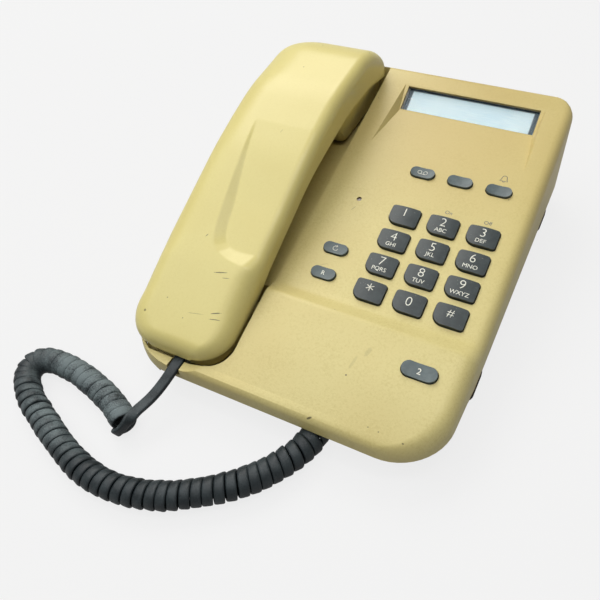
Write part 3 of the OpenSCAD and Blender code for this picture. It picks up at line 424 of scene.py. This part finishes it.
MERGE = 0.004 * MM                  # corners of loose triangles that are one point
AO_SAMPLES = {"samples": 6}
CREAM_LIGHT, CREAM_DEEP = (0.655, 0.572, 0.248), (0.612, 0.512, 0.208)
TUB_LIGHT, TUB_DEEP = (0.56, 0.42, 0.18), (0.48, 0.35, 0.145)
# grime brown, also the colour of the painted shade in corners, creases and the gaps round keys
GRIME_AND_SHADE = (0.17, 0.125, 0.055)
STAIN_MIDDLE = (0.03, 0.075, 0.058)  # the housing is browner round the display
MARK_DEPTH = 12
HOUSING_MARKS = [
    ((30.4, -80.4, 29.3), 0, 0.5, 0.5, 0.8), ((22.9, -102.5, 22.3), 30, 1.4, 0.5, 0.8),
    ((63.7, -98.2, 23.7), 0, 0.5, 0.4, 0.7), ((47.9, -97.2, 24.3), 0, 0.4, 0.4, 0.5),
    ((-3.7, 4.6, 43.4), 62, 2.2, 0.18, 0.55), ((35.3, -67.5, 32.6), 75, 3.0, 1.3, 0.16),
    ((31.0, -74.0, 31), 80, 4.0, 0.9, 0.12), ((-4.0, -30.0, 36), 25, 2.4, 0.2, 0.3)]


def clean_mesh(node):
    """Smooth shading for a node that comes as loose flat triangles."""
    select_only(node)
    if node.data.has_custom_normals:
        bpy.ops.mesh.customdata_custom_splitnormals_clear()
    if "sharp_edge" in node.data.attributes:
        node.data.attributes.remove(node.data.attributes["sharp_edge"])
    node.data.shade_smooth()


def add_bevel(piece, width, angle, segments):
    bevel = piece.modifiers.new("soft_edges", "BEVEL")
    bevel.width, bevel.segments = width * MM, segments
    bevel.limit_method, bevel.angle_limit = "ANGLE", math.radians(angle)
    return bevel


def soften(name, width, angle=34, segments=2):
    """Rounds a moulded node's edges sharper than angle, so that they catch the light."""
    clean_mesh(nodes[name])
    weld = nodes[name].modifiers.new("merged", "WELD")
    weld.merge_threshold = MERGE
    add_bevel(nodes[name], width, angle, segments).harden_normals = True


def dress(material, *names):
    for name in names:
        nodes[name].data.materials.clear()
        nodes[name].data.materials.append(material)


def shaded(colour, red, green, blue):
    return colour[0] * red, colour[1] * green, colour[2] * blue


def aged_plastic(name, light, deep, rough, grain, freckles, marks=()):
    """Yellowed plastic: cloudy tone, grime and painted shade in the corners and grooves, dark
    specks, moulded grain. marks are (centre, angle, length, width, strength) of scuffs in
    millimetres and degrees."""
    material, start, place = new_material(name)
    clouds = place.noise(16.0, 2.0)
    mottle = place.noise(75.0, 4.0, 0.6)
    tiny = place.noise(1400.0, 3.0, 0.6)
    tone = (clouds * 0.7 + mottle * 0.3).step(0.3, 0.7)
    colour = tone.mix(deep, light)
    freckle = (place.noise(900.0, 4.0, 0.8) + (mottle - 0.5) * 0.4).step(0.42, 0.72) * freckles
    colour = freckle.mix(colour, shaded(deep, 0.80, 0.76, 0.62))
    stain = place.near(STAIN_MIDDLE, 0.020, 0.090) * (0.45 + clouds * 0.9) * freckles
    colour = (stain * 1.5).mix(colour, shaded(deep, 0.80, 0.70, 0.58))
    # Ambient occlusion darkens corners, creases and the gaps round the keys to grime brown:
    # painted shade mixed with real grime.
    corner = start.node("ShaderNodeAmbientOcclusion", AO_SAMPLES, out="AO", Distance=3.5 * MM)
    groove = start.node("ShaderNodeAmbientOcclusion", AO_SAMPLES, out="AO", Distance=1.1 * MM)
    dirt_and_shade = (1 - corner).step(0.30, 0.95) * (0.45 + mottle * 0.75)
    dirt_and_shade = start.math("MAXIMUM", dirt_and_shade, (1 - groove).step(0.22, 0.62))
    dirt_and_shade = start.math("MINIMUM", dirt_and_shade, 0.9)
    colour = dirt_and_shade.mix(colour, GRIME_AND_SHADE)
    cells, hue = place.node("ShaderNodeTexVoronoi", out=("Distance", "Color"), Vector=place,
                            Scale=150.0)
    rare = start.node("ShaderNodeSeparateColor", out=0, Color=hue).step(0.86, 0.90)
    speck = (1 - cells.step(0.02, 0.07)) * rare
    colour = (speck * 0.7).mix(colour, shaded(GRIME_AND_SHADE, 0.35, 0.35, 0.35))
    for centre, angle, length, width, strength in marks:
        local = place.node("ShaderNodeMapping", {"vector_type": "TEXTURE"}, Vector=place,
                           Location=tuple(MM * c for c in centre),
                           Rotation=(0, 0, math.radians(angle)),
                           Scale=(length * MM, width * MM, MARK_DEPTH * MM))
        away = start.node("ShaderNodeVectorMath", {"operation": "LENGTH"}, out=1, i0=local)
        mark = (1 - (away + (tiny - 0.5) * 0.9).step(0.55, 1.0)) * strength
        colour = mark.mix(colour, shaded(GRIME_AND_SHADE, 0.22, 0.22, 0.22))
    sheen = rough + (mottle - 0.5) * 0.06 + dirt_and_shade * 0.2
    surface(start, Base_Color=colour, Roughness=sheen, IOR=1.46,
            Normal=grain_bump(start, tiny, grain, 0.12 * MM))
    return material


housing_cream = aged_plastic("cream_plastic_housing", CREAM_LIGHT, CREAM_DEEP, rough=0.42,
                             grain=0.45, freckles=0.42, marks=HOUSING_MARKS)
tub_cream = aged_plastic("cream_base_plastic", TUB_LIGHT, TUB_DEEP, rough=0.5, grain=0.4,
                         freckles=0.4)
soften("upper_housing", 0.7)
soften("lower_housing", 0.5)
dress(housing_cream, "upper_housing")
dress(tub_cream, "lower_housing")

rubber, start, place = new_material("black_rubber")
dusty = place.noise(600.0, 4.0, 0.7).step(0.45, 0.8)
surface(start, Base_Color=dusty.mix((0.020, 0.014, 0.012), (0.07, 0.055, 0.045)), Roughness=0.85,
        Normal=grain_bump(start, dusty, 0.4, 0.1 * MM))
soften("rubber_feet", 0.4)
dress(rubber, "rubber_feet", "receiver_gasket", "microphone_holder")

screw_steel, start, place = new_material("screw_steel")
streaks = place.node("ShaderNodeMapping", Vector=place, Scale=(3000, 300, 300)).noise(1.0, 2.0)
tarnish = place.noise(900.0, 3.0).step(0.5, 0.8)
surface(start, Base_Color=tarnish.mix((0.56, 0.55, 0.53), (0.30, 0.26, 0.21)), Metallic=1.0,
        Roughness=0.28 + streaks * 0.25)
dress(screw_steel, "base_screws", "board_screws", "handset_screws", "hook_spring",
      "handset_weight", "receiver_capsule", "microphone_capsule")
for name in ("base_screws", "board_screws", "handset_screws"):
    soften(name, 0.15, 40)


# ---- Rim corners ----
# The low rim round the cradle, where it turns the base's two left corners. It is part of the
# upper moulding, which is too thin there, so a curved wall fills each turn.

HALF_BASE, FRONT, BACK = 81, -104, 104
SIDE_PULL, PULL_START, PULL_LENGTH = 2.5, -29, 75   # the sides draw in towards the front
PANEL_FOOT, PANEL_FOOT_HEIGHT, PANEL_SLOPE = -46, 32.5, math.radians(12)
NOSE_FOOT_HEIGHT, NOSE_RISE = 22.2, 0.3043
RIM_FOOT, RIM_HEIGHT, RIM_BEND = 13.6, 20.4, -88.8
PROUD, PROUD_TOP = 0.1, 0.08        # the wall stands this far out of the moulding
SAME_POINT = 0.005 * MM
EDGE_STEPS = 8


def plan_draw(distance, radius):
    """How far a rounded plan corner draws the side in."""
    if distance >= radius:
        return 0
    return radius - math.sqrt(max(0, radius * radius - (radius - distance) ** 2))


def rim_corner(name, end, radius, edge, thick, top_of):
    """A curved wall that follows the base's outline round the corner at its front or back end,
    and the rounded edge under its top surface, up to the rim."""
    points = []
    for angle in range(10, 91, 5):
        angle = math.radians(angle)
        y = end - math.copysign(radius * (1 - math.cos(angle)), end)
        pull = SIDE_PULL * (max(0, PULL_START - y) / PULL_LENGTH) ** 2
        half = HALF_BASE - pull - plan_draw(abs(y - end), radius)
        rim = RIM_HEIGHT + max(0, y - RIM_BEND) * math.tan(PANEL_SLOPE)
        middle = top_of(y) - edge
        turn = math.asin(min(0.9, max(0.001, (rim - middle) / edge)))
        outer = [(edge * (1 - math.cos(turn * k / EDGE_STEPS)) - PROUD,
                  middle + edge * math.sin(turn * k / EDGE_STEPS) + PROUD_TOP)
                 for k in range(EDGE_STEPS + 1)]
        inner = outer[-1][0] + PROUD + thick / max(0.35, math.sin(angle))
        ring = [(-PROUD, RIM_FOOT), *outer, (inner, outer[-1][1]), (inner, RIM_FOOT)]
        points += [MM * Vector((-half + inward, y, z)) for inward, z in ring]
    faces = tube_faces(len(points) // len(ring), len(ring))
    piece = new_piece(name, points, faces, merge=SAME_POINT)
    bpy.ops.object.shade_smooth_by_angle(angle=math.radians(40))
    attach(piece, "base")
    piece.data.materials.append(housing_cream)


rim_corner("rim_corner_front", FRONT, radius=25, edge=8, thick=1.1,
           top_of=lambda y: NOSE_FOOT_HEIGHT - plan_draw(y - FRONT, 4) + (y - FRONT) * NOSE_RISE)
rim_corner("rim_corner_back", BACK, radius=12, edge=5.5, thick=1.7,
           top_of=lambda y: PANEL_FOOT_HEIGHT + (y - PANEL_FOOT) * math.tan(PANEL_SLOPE))


# ---- Display ----
# A clear window over a grey-blue liquid crystal panel, which sits in a white holder under a
# recess of the housing. The panel shows nothing, as with the handset down.

lcd_glass, start, place = new_material("display_glass")
brushed = place.node("ShaderNodeMapping", Vector=place, Scale=(120, 2200, 500)).noise(1.0, 3.0)
film = place.noise(60.0, 2.0)
panel_low, panel_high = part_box("lcd_panel")
across, up = start.node("ShaderNodeSeparateXYZ", out=("X", "Y"), Vector=place)
# A thin dark margin at the panel's left and right ends and along its upper edge is painted shadow
# of the recess's edges.
inner = (across - panel_low.x).step(0.0018, 0.0026)
inner = inner * (panel_high.x - across).step(0.0018, 0.0026)
inner = inner * (panel_high.y - up).step(0.0020, 0.0027)
tint = (brushed * 0.5 + film * 0.5).step(0.35, 0.65).mix((0.72, 0.90, 0.96), (0.84, 0.98, 1.0))
surface(start, Base_Color=inner.mix((0.05, 0.085, 0.11), tint), Roughness=0.3 + brushed * 0.1)
dress(lcd_glass, "lcd_panel")

clear_window, start, place = new_material("clear_window")
smears = place.node("ShaderNodeMapping", Vector=place, Rotation=(0, 0, 0.3),
                    Scale=(90, 500, 200)).noise(1.0, 4.0, 0.65)
surface(start, Base_Color=(0.97, 0.99, 1.0, 1), Roughness=0.06 + smears.step(0.5, 0.75) * 0.22,
        IOR=1.3, Transmission_Weight=1.0)
dress(clear_window, "display_window")

white_plastic, start, place = new_material("white_plastic")
aged = place.noise(90.0).step(0.3, 0.7)
surface(start, Base_Color=aged.mix((0.62, 0.60, 0.54), (0.72, 0.70, 0.65)), Roughness=0.45)
dress(white_plastic, "lcd_holder")


# ---- Board and keypad membrane ----
# A phenolic board with a green mask carries the contacts, and a grey silicone sheet with a
# dome under each key gives the press its spring. Both are screwed up under the panel.

green_board, start, place = new_material("green_board")
weave = place.noise(1800.0, 2.0)
lines = place.node("ShaderNodeTexBrick", out=1, Vector=place, Scale=160.0, Mortar_Size=0.03,
                   Mortar_Smooth=0.3)
mask = weave.mix((0.02, 0.10, 0.05), (0.03, 0.14, 0.07))
surface(start, Base_Color=(lines * 0.6).mix(mask, (0.05, 0.2, 0.1)), Roughness=0.4)
dress(green_board, "main_board")

silicone, start, place = new_material("grey_silicone")
surface(start, Base_Color=place.noise(300.0, 4.0).mix((0.20, 0.21, 0.22), (0.27, 0.28, 0.29)),
        Roughness=0.6, Subsurface_Weight=0.1)
soften("keypad_membrane", 0.3)
dress(silicone, "keypad_membrane")


# ---- Dialling and function keys ----
# Slate caps with a gently domed top, printed with a digit over its letters, and small grey
# ovals with a dished top. Each rests on the membrane and goes down 1.5 mm.

PANEL_ORIGIN = Vector((0, PANEL_FOOT, PANEL_FOOT_HEIGHT))
NOSE_ORIGIN, NOSE_SLOPE = Vector((59.2, -68.5, 32.31)), math.atan2(6.6, 26.5)
COLUMNS, ROWS = (22.7, 42.2, 61.7), (53.9, 39.0, 24.1, 9.2)  # along the panel from its foot
CAPTIONS = {"1": "", "2": "ABC", "3": "DEF", "4": "GHI", "5": "JKL", "6": "MNO", "7": "PQRS",
            "8": "TUV", "9": "WXYZ", "star": "", "0": "", "hash": ""}


def worn_cap(name, colour, edge, rough):
    """Solid-coloured key plastic, paler where fingers polish it, with lint in its grain, and
    painted shade low on the cap near the panel.
    """
    material, start, place = new_material(name)
    mottle = place.noise(260.0, 4.0, 0.6)
    tiny = place.noise(2600.0, 3.0, 0.65)
    lint = place.noise(1100.0, 2.0).step(0.70, 0.75)
    # Ambient occlusion darkens the cap low down, near the panel and its neighbours, to near black:
    # painted shade.
    corner = start.node("ShaderNodeAmbientOcclusion", AO_SAMPLES, out="AO", Distance=2 * MM)
    colour = mottle.step(0.35, 0.7).mix(colour, edge)
    colour = ((1 - corner).step(0.35, 0.9) * 0.7).mix(colour, (0.030, 0.028, 0.024))
    colour = (lint * 0.35).mix(colour, (0.32, 0.31, 0.27))
    surface(start, Base_Color=colour, Roughness=rough + (mottle - 0.5) * 0.2,
            Normal=grain_bump(start, tiny, 0.3, 0.08 * MM))
    return material


slate_cap = worn_cap("slate_key_plastic", (0.014, 0.023, 0.0245), (0.027, 0.039, 0.041), 0.44)
grey_cap = worn_cap("grey_key_plastic", (0.062, 0.088, 0.092), (0.092, 0.124, 0.128), 0.42)
DIAL_KEYS = [f"key_{name}" for name in CAPTIONS]
OVAL_KEYS = ["function_key_left", "function_key_middle", "function_key_right", "redial_key",
             "recall_key", "second_call_key"]
for name in DIAL_KEYS:
    soften(name, 0.45, 40, 3)
    dress(slate_cap, name)
for name in OVAL_KEYS:
    soften(name, 0.35, 40, 3)
    dress(grey_cap, name)


# The legends: screen-printed ink on the caps and on the panel, in thin closed shapes that lie on
# the curved plastic. Words and signs are plain ones.

INK_THICK = 0.06
ABOVE_ALL, INK_REACH = 12, 30       # where the ink comes down from, and how far it looks
DIGIT_HEIGHT, LETTER_HEIGHT = 4.9, 2.2
DIGIT_UP, LETTERS_DOWN = 1.9, 2.75  # from the cap's middle
UP_ALONE = {"star": 1.6, "0": 0.6, "hash": 0.9, "1": 2.0}


def print_ink(name, colour):
    """Screen-printed ink that has rubbed away in spots."""
    material, start, place = new_material(name)
    gone = place.noise(1500.0, 3.0, 0.7).step(0.55, 0.67)
    surface(start, Base_Color=gone.mix(colour, shaded(colour, 0.55, 0.55, 0.55)), Roughness=0.5)
    return material


white_ink = print_ink("white_legend_ink", (0.78, 0.78, 0.68))
grey_ink = print_ink("grey_panel_ink", (0.155, 0.16, 0.145))
bpy.context.view_layer.update()


def lay_ink(name, shapes, origin, slope, node_name, body, ink):
    """Lays flat shapes, each (mesh object, x, s) in millimetres in a sloping frame, on a node's
    surface as one thin printed piece that moves with a body."""
    tilt = Matrix.Rotation(slope, 3, "X")
    normal = tilt @ UP
    tree = BVHTree.FromObject(nodes[node_name], bpy.context.evaluated_depsgraph_get())
    for shape, x, s in shapes:
        for vertex in shape.data.vertices:
            flat = origin + tilt @ Vector((x + vertex.co.x, s + vertex.co.y, ABOVE_ALL))
            hit = tree.ray_cast(flat * MM, -normal, INK_REACH * MM)[0] or flat * MM
            on_top = vertex.co.z > -1e-4
            vertex.co = hit + normal * (MM * (INK_THICK if on_top else -INK_THICK))
    piece = shapes[0][0]
    select_only(piece)
    for shape, x, s in shapes:
        shape.select_set(True)
    if len(shapes) > 1:
        bpy.ops.object.join()
    piece.name = piece.data.name = name
    piece.data.materials.clear()
    piece.data.materials.append(ink)
    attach(piece, body)


def lettering(text, height, bold=0.0):
    """Text as a thin closed mesh round its own middle, height of a capital in millimetres."""
    capital_share = 0.72            # of the font's size
    deselect()
    bpy.ops.object.text_add()
    shape = bpy.context.object
    shape.data.body, shape.data.size = text, height / capital_share
    shape.data.align_x, shape.data.align_y = "CENTER", "CENTER"
    shape.data.extrude, shape.data.offset = 0.01, bold
    shape.data.resolution_u = 4
    bpy.ops.object.convert(target="MESH")
    middle = sum((Vector(c) for c in shape.bound_box), Vector()) / 8
    for vertex in shape.data.vertices:
        vertex.co -= Vector((middle.x, middle.y, 0))
    return shape


def line_sign(strokes, width):
    """Drawn lines as a thin closed mesh. strokes are lists of points in millimetres."""
    curve = bpy.data.curves.new("sign", "CURVE")
    curve.dimensions, curve.bevel_depth, curve.bevel_resolution = "3D", width / 2, 0
    for stroke in strokes:
        spline = curve.splines.new("POLY")
        spline.points.add(len(stroke) - 1)
        for point, (x, y) in zip(spline.points, stroke):
            point.co = (x, y, 0, 1)
    curve.use_fill_caps = True
    shape = bpy.data.objects.new("sign", curve)
    bpy.context.scene.collection.objects.link(shape)
    select_only(shape)
    bpy.ops.object.convert(target="MESH")
    return bpy.context.object


def arc(x, y, radius, start, end, steps=14):
    """Points of an arc round x, y, from one angle to another in degrees."""
    return [(x + radius * math.cos(math.radians(start + (end - start) * k / steps)),
             y + radius * math.sin(math.radians(start + (end - start) * k / steps)))
            for k in range(steps + 1)]


for index, (name, caption) in enumerate(CAPTIONS.items()):
    key, x, s = f"key_{name}", COLUMNS[index % 3], ROWS[index // 3]
    if name == "star":
        rays = [[(r * math.cos(a), r * math.sin(a)) for r in (-2, -1.2, 0, 1.2, 2)]
                for a in (math.pi / 2, math.pi / 6, -math.pi / 6)]
        shapes = [(line_sign(rays, 0.5), x, s + UP_ALONE[name])]
    elif name == "hash":
        shapes = [(lettering("#", 4.0, -0.05), x, s + UP_ALONE[name])]
    elif caption:
        shapes = [(lettering(name, DIGIT_HEIGHT, -0.1), x, s + DIGIT_UP),
                  (lettering(caption, LETTER_HEIGHT), x, s - LETTERS_DOWN)]
    else:
        shapes = [(lettering(name, DIGIT_HEIGHT, -0.1), x, s + UP_ALONE[name])]
    lay_ink(f"{key}_legend", shapes, PANEL_ORIGIN, PANEL_SLOPE, key, key, white_ink)

# The ovals' signs: two reels, a round arrow, a letter and a digit.
SIGNS = {
    "function_key_left": (21.7, 82.4, [arc(-1.5, 0, 1.0, 0, 360), arc(1.5, 0, 1.0, 0, 360),
                                       [(-1.5, -1.0), (1.5, -1.0)]]),
    "redial_key": (-2, 26.1, [arc(0, 0, 1.3, 60, 350),
                              [(0.1, 1.9), (0.75, 1.1), (-0.25, 0.6)]])}
for name, (x, s, strokes) in SIGNS.items():
    lay_ink(f"{name}_sign", [(line_sign(strokes, 0.32), x, s)], PANEL_ORIGIN, PANEL_SLOPE, name,
            name, white_ink)
lay_ink("recall_key_sign", [(lettering("R", 2.3, 0.02), -2, 11.3)], PANEL_ORIGIN, PANEL_SLOPE,
        "recall_key", "recall_key", white_ink)
lay_ink("second_call_key_sign", [(lettering("2", 2.9, 0.02), 0, 0)], NOSE_ORIGIN, NOSE_SLOPE,
        "second_call_key", "second_call_key", white_ink)

# Grey print on the panel: the words for on and off over two keys, and a bell.
bell = [[(-2.0, -1.5), (-1.4, -0.7), *arc(0, 0.6, 1.2, 180, 0), (1.4, -0.7), (2.0, -1.5),
         (-2.0, -1.5)], arc(0, -1.5, 0.6, 180, 360)]
lay_ink("panel_print", [(lettering("On", 2.1), COLUMNS[1], ROWS[0] + 9.4),
                        (lettering("Off", 2.1), COLUMNS[2], ROWS[0] + 9.1),
                        (line_sign(bell, 0.28), 60.9, 90.9)],
        PANEL_ORIGIN, PANEL_SLOPE, "upper_housing", "base", grey_ink)


# ---- Call lamp, hook parts, ringer and jacks ----
# The lamp is a dark red lens in a round hole. An ivory plunger in the ear well works the hook
# switch against a steel spring. Black jacks take the cords' clear plugs.

lamp_plastic, start, place = new_material("lamp_plastic")
surface(start, Base_Color=place.noise(900.0).mix((0.030, 0.010, 0.010), (0.06, 0.02, 0.016)),
        Roughness=0.2, Coat_Weight=0.5)
dress(lamp_plastic, "call_lamp")

ivory, start, place = new_material("ivory_plastic")
surface(start, Base_Color=place.noise(200.0).mix((0.55, 0.48, 0.33), (0.66, 0.60, 0.45)),
        Roughness=0.35)
soften("hook_plunger", 0.5)
dress(ivory, "hook_plunger")

black_plastic, start, place = new_material("black_plastic")
surface(start, Base_Color=place.noise(500.0, 4.0).mix((0.013, 0.014, 0.015), (0.03, 0.031, 0.032)),
        Roughness=0.42, Normal=grain_bump(start, place.noise(2600.0, 3.0), 0.25, 0.08 * MM))
for name in ("hook_switch", "ringer", "line_jack", "base_cord_jack", "handset_cord_jack"):
    soften(name, 0.25, 40)
    dress(black_plastic, name)

clear_plug, start, place = new_material("clear_plug_plastic")
surface(start, Base_Color=(0.93, 0.94, 0.92, 1), Roughness=0.12 + place.noise(700.0) * 0.15,
        IOR=1.45, Transmission_Weight=0.85)
dress(clear_plug, "handset_plug", "base_plug")


# ---- Handset ----
# Two glossier cream shells, joined along a seam under the ear end and screwed together. The
# grip is a shallow sunk panel that starts as a point and ends in a curved step.

MOUTH_END, HANDSET_MIDDLE = -98.5, -52.2
HANDSET_LENGTH, HALF_WIDTH, EAR_WIDER = 200, 27.8, 0.8
MOUTH_CORNER, EAR_CORNER_RIGHT, EAR_CORNER_LEFT = 17, 10, 27
HANDSET_WALL = 2.0
EAR_RAMP, GRIP_RAMP = (117, 162), (36, 50)
STATION_STEP = 0.75
SIDE_STEPS, RIGHT_STEPS, TOP_STEPS, LEFT_STEPS = 5, 14, 60, 16
LEAST_SIDE, LEAST_ROUND = 1.2, 0.5
# Radii of the shell's edges at the mouth end, and what the grip and the ear end add to them.
EDGE_RIGHT, EDGE_LEFT, EDGE_LEFT_HEIGHT = (11, -5, 0), (12, 4, 6), (11, -2, 2)
# The shell's top and its seam from the side: along from the mouth end, height, and rounding.
SHELL_TOP = [(0, 24), (0, 30.3, 8.5), (37.5, 48, 80), (97.5, 71.5, 160), (137.5, 83, 90),
             (183, 87, 32), (200, 64, 5), (200, 58)]
SHELL_SEAM = [(-1, 24.3), (37.5, 32, 20), (51.5, 40, 15), (97.5, 58.5, 120), (142.5, 67.5, 60),
              (172.5, 67, 40), (201, 60)]
# The grip panel's outline and its floor's, across and along, with the corner that closes both.
GRIP_EDGE = [(34, 41.5), (24.2, 41.5), (17.7, 41.5), (10.6, 42.5), (5.1, 44.4), (1.5, 47),
             (-0.2, 49), (-1.5, 52), (-3, 58.5), (-4.4, 68.6), (-5.6, 77.5), (-6.7, 86.3),
             (-7.9, 99), (-9.2, 112), (-10.5, 125)]
GRIP_FLOOR = [(34, 50.6), (26, 49.9), (17.8, 48.9), (12.5, 48.9), (8.6, 49.6), (5.8, 51.4),
              (4.2, 53.4), (2.9, 56.2), (1.6, 61.5), (0.6, 69), (-1.6, 78), (-3.6, 87),
              (-6.2, 99.4), (-8.4, 112.2), (-10, 125)]
GRIP_CORNER = [(34, 125)]
GRIP_SINK = 2.6
SINK_RAMP, SINK_END, SINK_FADE = (26, 38), 114, 40
HANDSET_LIGHT, HANDSET_DEEP = (0.675, 0.598, 0.235), (0.640, 0.555, 0.205)
HANDSET_MARKS = [
    ((-41.0, -62.5, 47), 14, 4.0, 0.28, 0.85), ((-35.0, -79.5, 39), 20, 3.0, 0.3, 0.9),
    ((-45.0, -82.5, 38), 10, 5.0, 0.2, 0.35), ((-70.8, -88.2, 34.6), 0, 0.8, 0.7, 0.6),
    ((-56.5, -48.1, 53), 60, 1.2, 0.3, 0.6), ((-34.5, -82.2, 38), 12, 3.2, 0.25, 0.8),
    ((-37.5, -64.2, 46), 10, 2.4, 0.22, 0.6), ((-62.0, -80.0, 38), 0, 0.5, 0.4, 0.5),
    ((-50.0, -86.0, 36), 30, 0.4, 0.4, 0.5), ((-45.0, 12.0, 70), 70, 1.6, 0.2, 0.4)]


def rounded(points, steps=14):
    """A line through points (y, z, radius) with its corners rounded, as it runs along y."""
    line = [Vector(points[0][:2])]
    for before, corner, after in zip(points, points[1:], points[2:]):
        middle, radius = Vector(corner[:2]), corner[2]
        a = (Vector(before[:2]) - middle).normalized()
        b = (Vector(after[:2]) - middle).normalized()
        half = a.angle(b) / 2
        centre = middle + (a + b).normalized() * (radius / math.sin(half))
        start = middle + a * (radius / math.tan(half)) - centre
        turn = start.angle_signed(middle + b * (radius / math.tan(half)) - centre)
        for k in range(steps + 1):
            line.append(centre + Matrix.Rotation(-turn * k / steps, 2) @ start)
    line.append(Vector(points[-1][:2]))
    rising = [line[0]]
    for point in line[1:]:
        if point.x > rising[-1].x + 0.001:
            rising.append(point)
    return rising


def height(line, y):
    """The line's z at y."""
    if y <= line[0].x:
        return line[0].y
    for a, b in zip(line, line[1:]):
        if y <= b.x:
            return a.y + (b.y - a.y) * (y - a.x) / (b.x - a.x)
    return line[-1].y


def span(x, low, high):
    """0 up to low, 1 from high, straight between."""
    return min(1, max(0, (x - low) / (high - low)))


def distance_to(line, x, y):
    best = 1e9
    for (ax, ay), (bx, by) in zip(line, line[1:]):
        t = span((x - ax) * (bx - ax) + (y - ay) * (by - ay), 0, (bx - ax) ** 2 + (by - ay) ** 2)
        best = min(best, math.hypot(x - ax - t * (bx - ax), y - ay - t * (by - ay)))
    return best


def encloses(outline, x, y):
    inside = False
    for (ax, ay), (bx, by) in zip(outline, outline[1:] + outline[:1]):
        if (ay > y) != (by > y) and x < (bx - ax) * (y - ay) / (by - ay) + ax:
            inside = not inside
    return inside


def sunk_share(x, y):
    """0 outside the grip panel, 1 on its floor, and a ramp between, at x, y from the mouth end."""
    if not encloses(GRIP_EDGE + GRIP_CORNER, x, y):
        return 0
    if encloses(GRIP_FLOOR + GRIP_CORNER, x, y):
        return 1
    from_edge, to_floor = distance_to(GRIP_EDGE, x, y), distance_to(GRIP_FLOOR, x, y)
    return from_edge / max(from_edge + to_floor, 1e-6)


def quarter(steps):
    """Angles from 0 to a right angle."""
    return [math.pi / 2 * k / steps for k in range(steps + 1)]


def shell_section(y, top, seam, sink):
    """Points over the upper shell at a station, from the right seam to the left one."""
    ear, grip = span(y, *EAR_RAMP), span(y, *GRIP_RAMP)
    from_ear = HANDSET_LENGTH - y
    narrow = HALF_WIDTH - plan_draw(y, MOUTH_CORNER)
    right = narrow + EAR_WIDER * ear - plan_draw(from_ear, EAR_CORNER_RIGHT)
    left = narrow - plan_draw(from_ear, EAR_CORNER_LEFT)
    z = height(top, y) - sink
    low = min(height(seam, y), z - LEAST_SIDE)
    most = z - low - LEAST_ROUND
    r_right, r_left, h_left = (
        max(LEAST_ROUND, min(plain + by_grip * grip + by_ear * ear, limit))
        for (plain, by_grip, by_ear), limit in (
            (EDGE_RIGHT, most), (EDGE_LEFT, most * 2), (EDGE_LEFT_HEIGHT, most)))
    flat = left + right - r_left - r_right
    points = [(right, low + (z - r_right - low) * k / SIDE_STEPS) for k in range(SIDE_STEPS)]
    points += [(right - r_right * (1 - math.cos(a)), z - r_right * (1 - math.sin(a)))
               for a in quarter(RIGHT_STEPS)]
    points += [(right - r_right - flat * k / TOP_STEPS, z) for k in range(1, TOP_STEPS)]
    points += [(-left + r_left * (1 - math.cos(a)), z - h_left * (1 - math.sin(a)))
               for a in reversed(quarter(LEFT_STEPS))]
    points += [(-left, low + (z - h_left - low) * k / SIDE_STEPS)
               for k in reversed(range(SIDE_STEPS))]
    return points


def corner_stations(radius, angles):
    """Distances in from an end, close together where its rounded corner turns fast."""
    return [radius * (1 - math.cos(math.radians(angle))) for angle in angles]


top_line, seam_line = rounded(SHELL_TOP), rounded(SHELL_SEAM)
stations = corner_stations(MOUTH_CORNER, range(0, 90, 5))
stations += [MOUTH_CORNER + STATION_STEP * k for k in range(1, 208)]
stations += [HANDSET_LENGTH - y for y in corner_stations(EAR_CORNER_LEFT, range(90, -1, -4))]
points = []
for y in stations:
    sink = GRIP_SINK * span(SINK_END - y, 0, SINK_FADE) * span(y, *SINK_RAMP)
    full = shell_section(y, top_line, seam_line, 0)
    sunk = shell_section(y, top_line, seam_line, sink) if sink else full
    for (x, z), (sunk_x, sunk_z) in zip(full, sunk):
        share = sunk_share(x, y) if sink else 0
        points.append(MM * Vector((HANDSET_MIDDLE + x + (sunk_x - x) * share, MOUTH_END + y,
                                   z + (sunk_z - z) * share)))
wide = len(full)
faces = [(k * wide + i, (k + 1) * wide + i, (k + 1) * wide + i + 1, k * wide + i + 1)
         for k in range(len(stations) - 1) for i in range(wide - 1)]
faces += [tuple(range(wide)), tuple(reversed(range((len(stations) - 1) * wide, len(points))))]
handset_top = new_piece("handset_top", points, faces, merge=SAME_POINT)
shell = handset_top.modifiers.new("wall", "SOLIDIFY")
shell.thickness, shell.offset = HANDSET_WALL * MM, -1
bpy.ops.object.modifier_apply(modifier="wall")
add_bevel(handset_top, 0.35, 55, 2)
bpy.ops.object.modifier_apply(modifier="soft_edges")
bpy.ops.object.shade_smooth_by_angle(angle=math.radians(50))
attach(handset_top, "handset")
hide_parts("handset_upper_shell")

handset_cream = aged_plastic("cream_plastic_handset", HANDSET_LIGHT, HANDSET_DEEP, rough=0.33,
                             grain=0.08, freckles=0.15, marks=HANDSET_MARKS)
soften("handset_lower_shell", 0.4, 30, 3)
dress(handset_cream, "handset_lower_shell")
handset_top.data.materials.append(handset_cream)
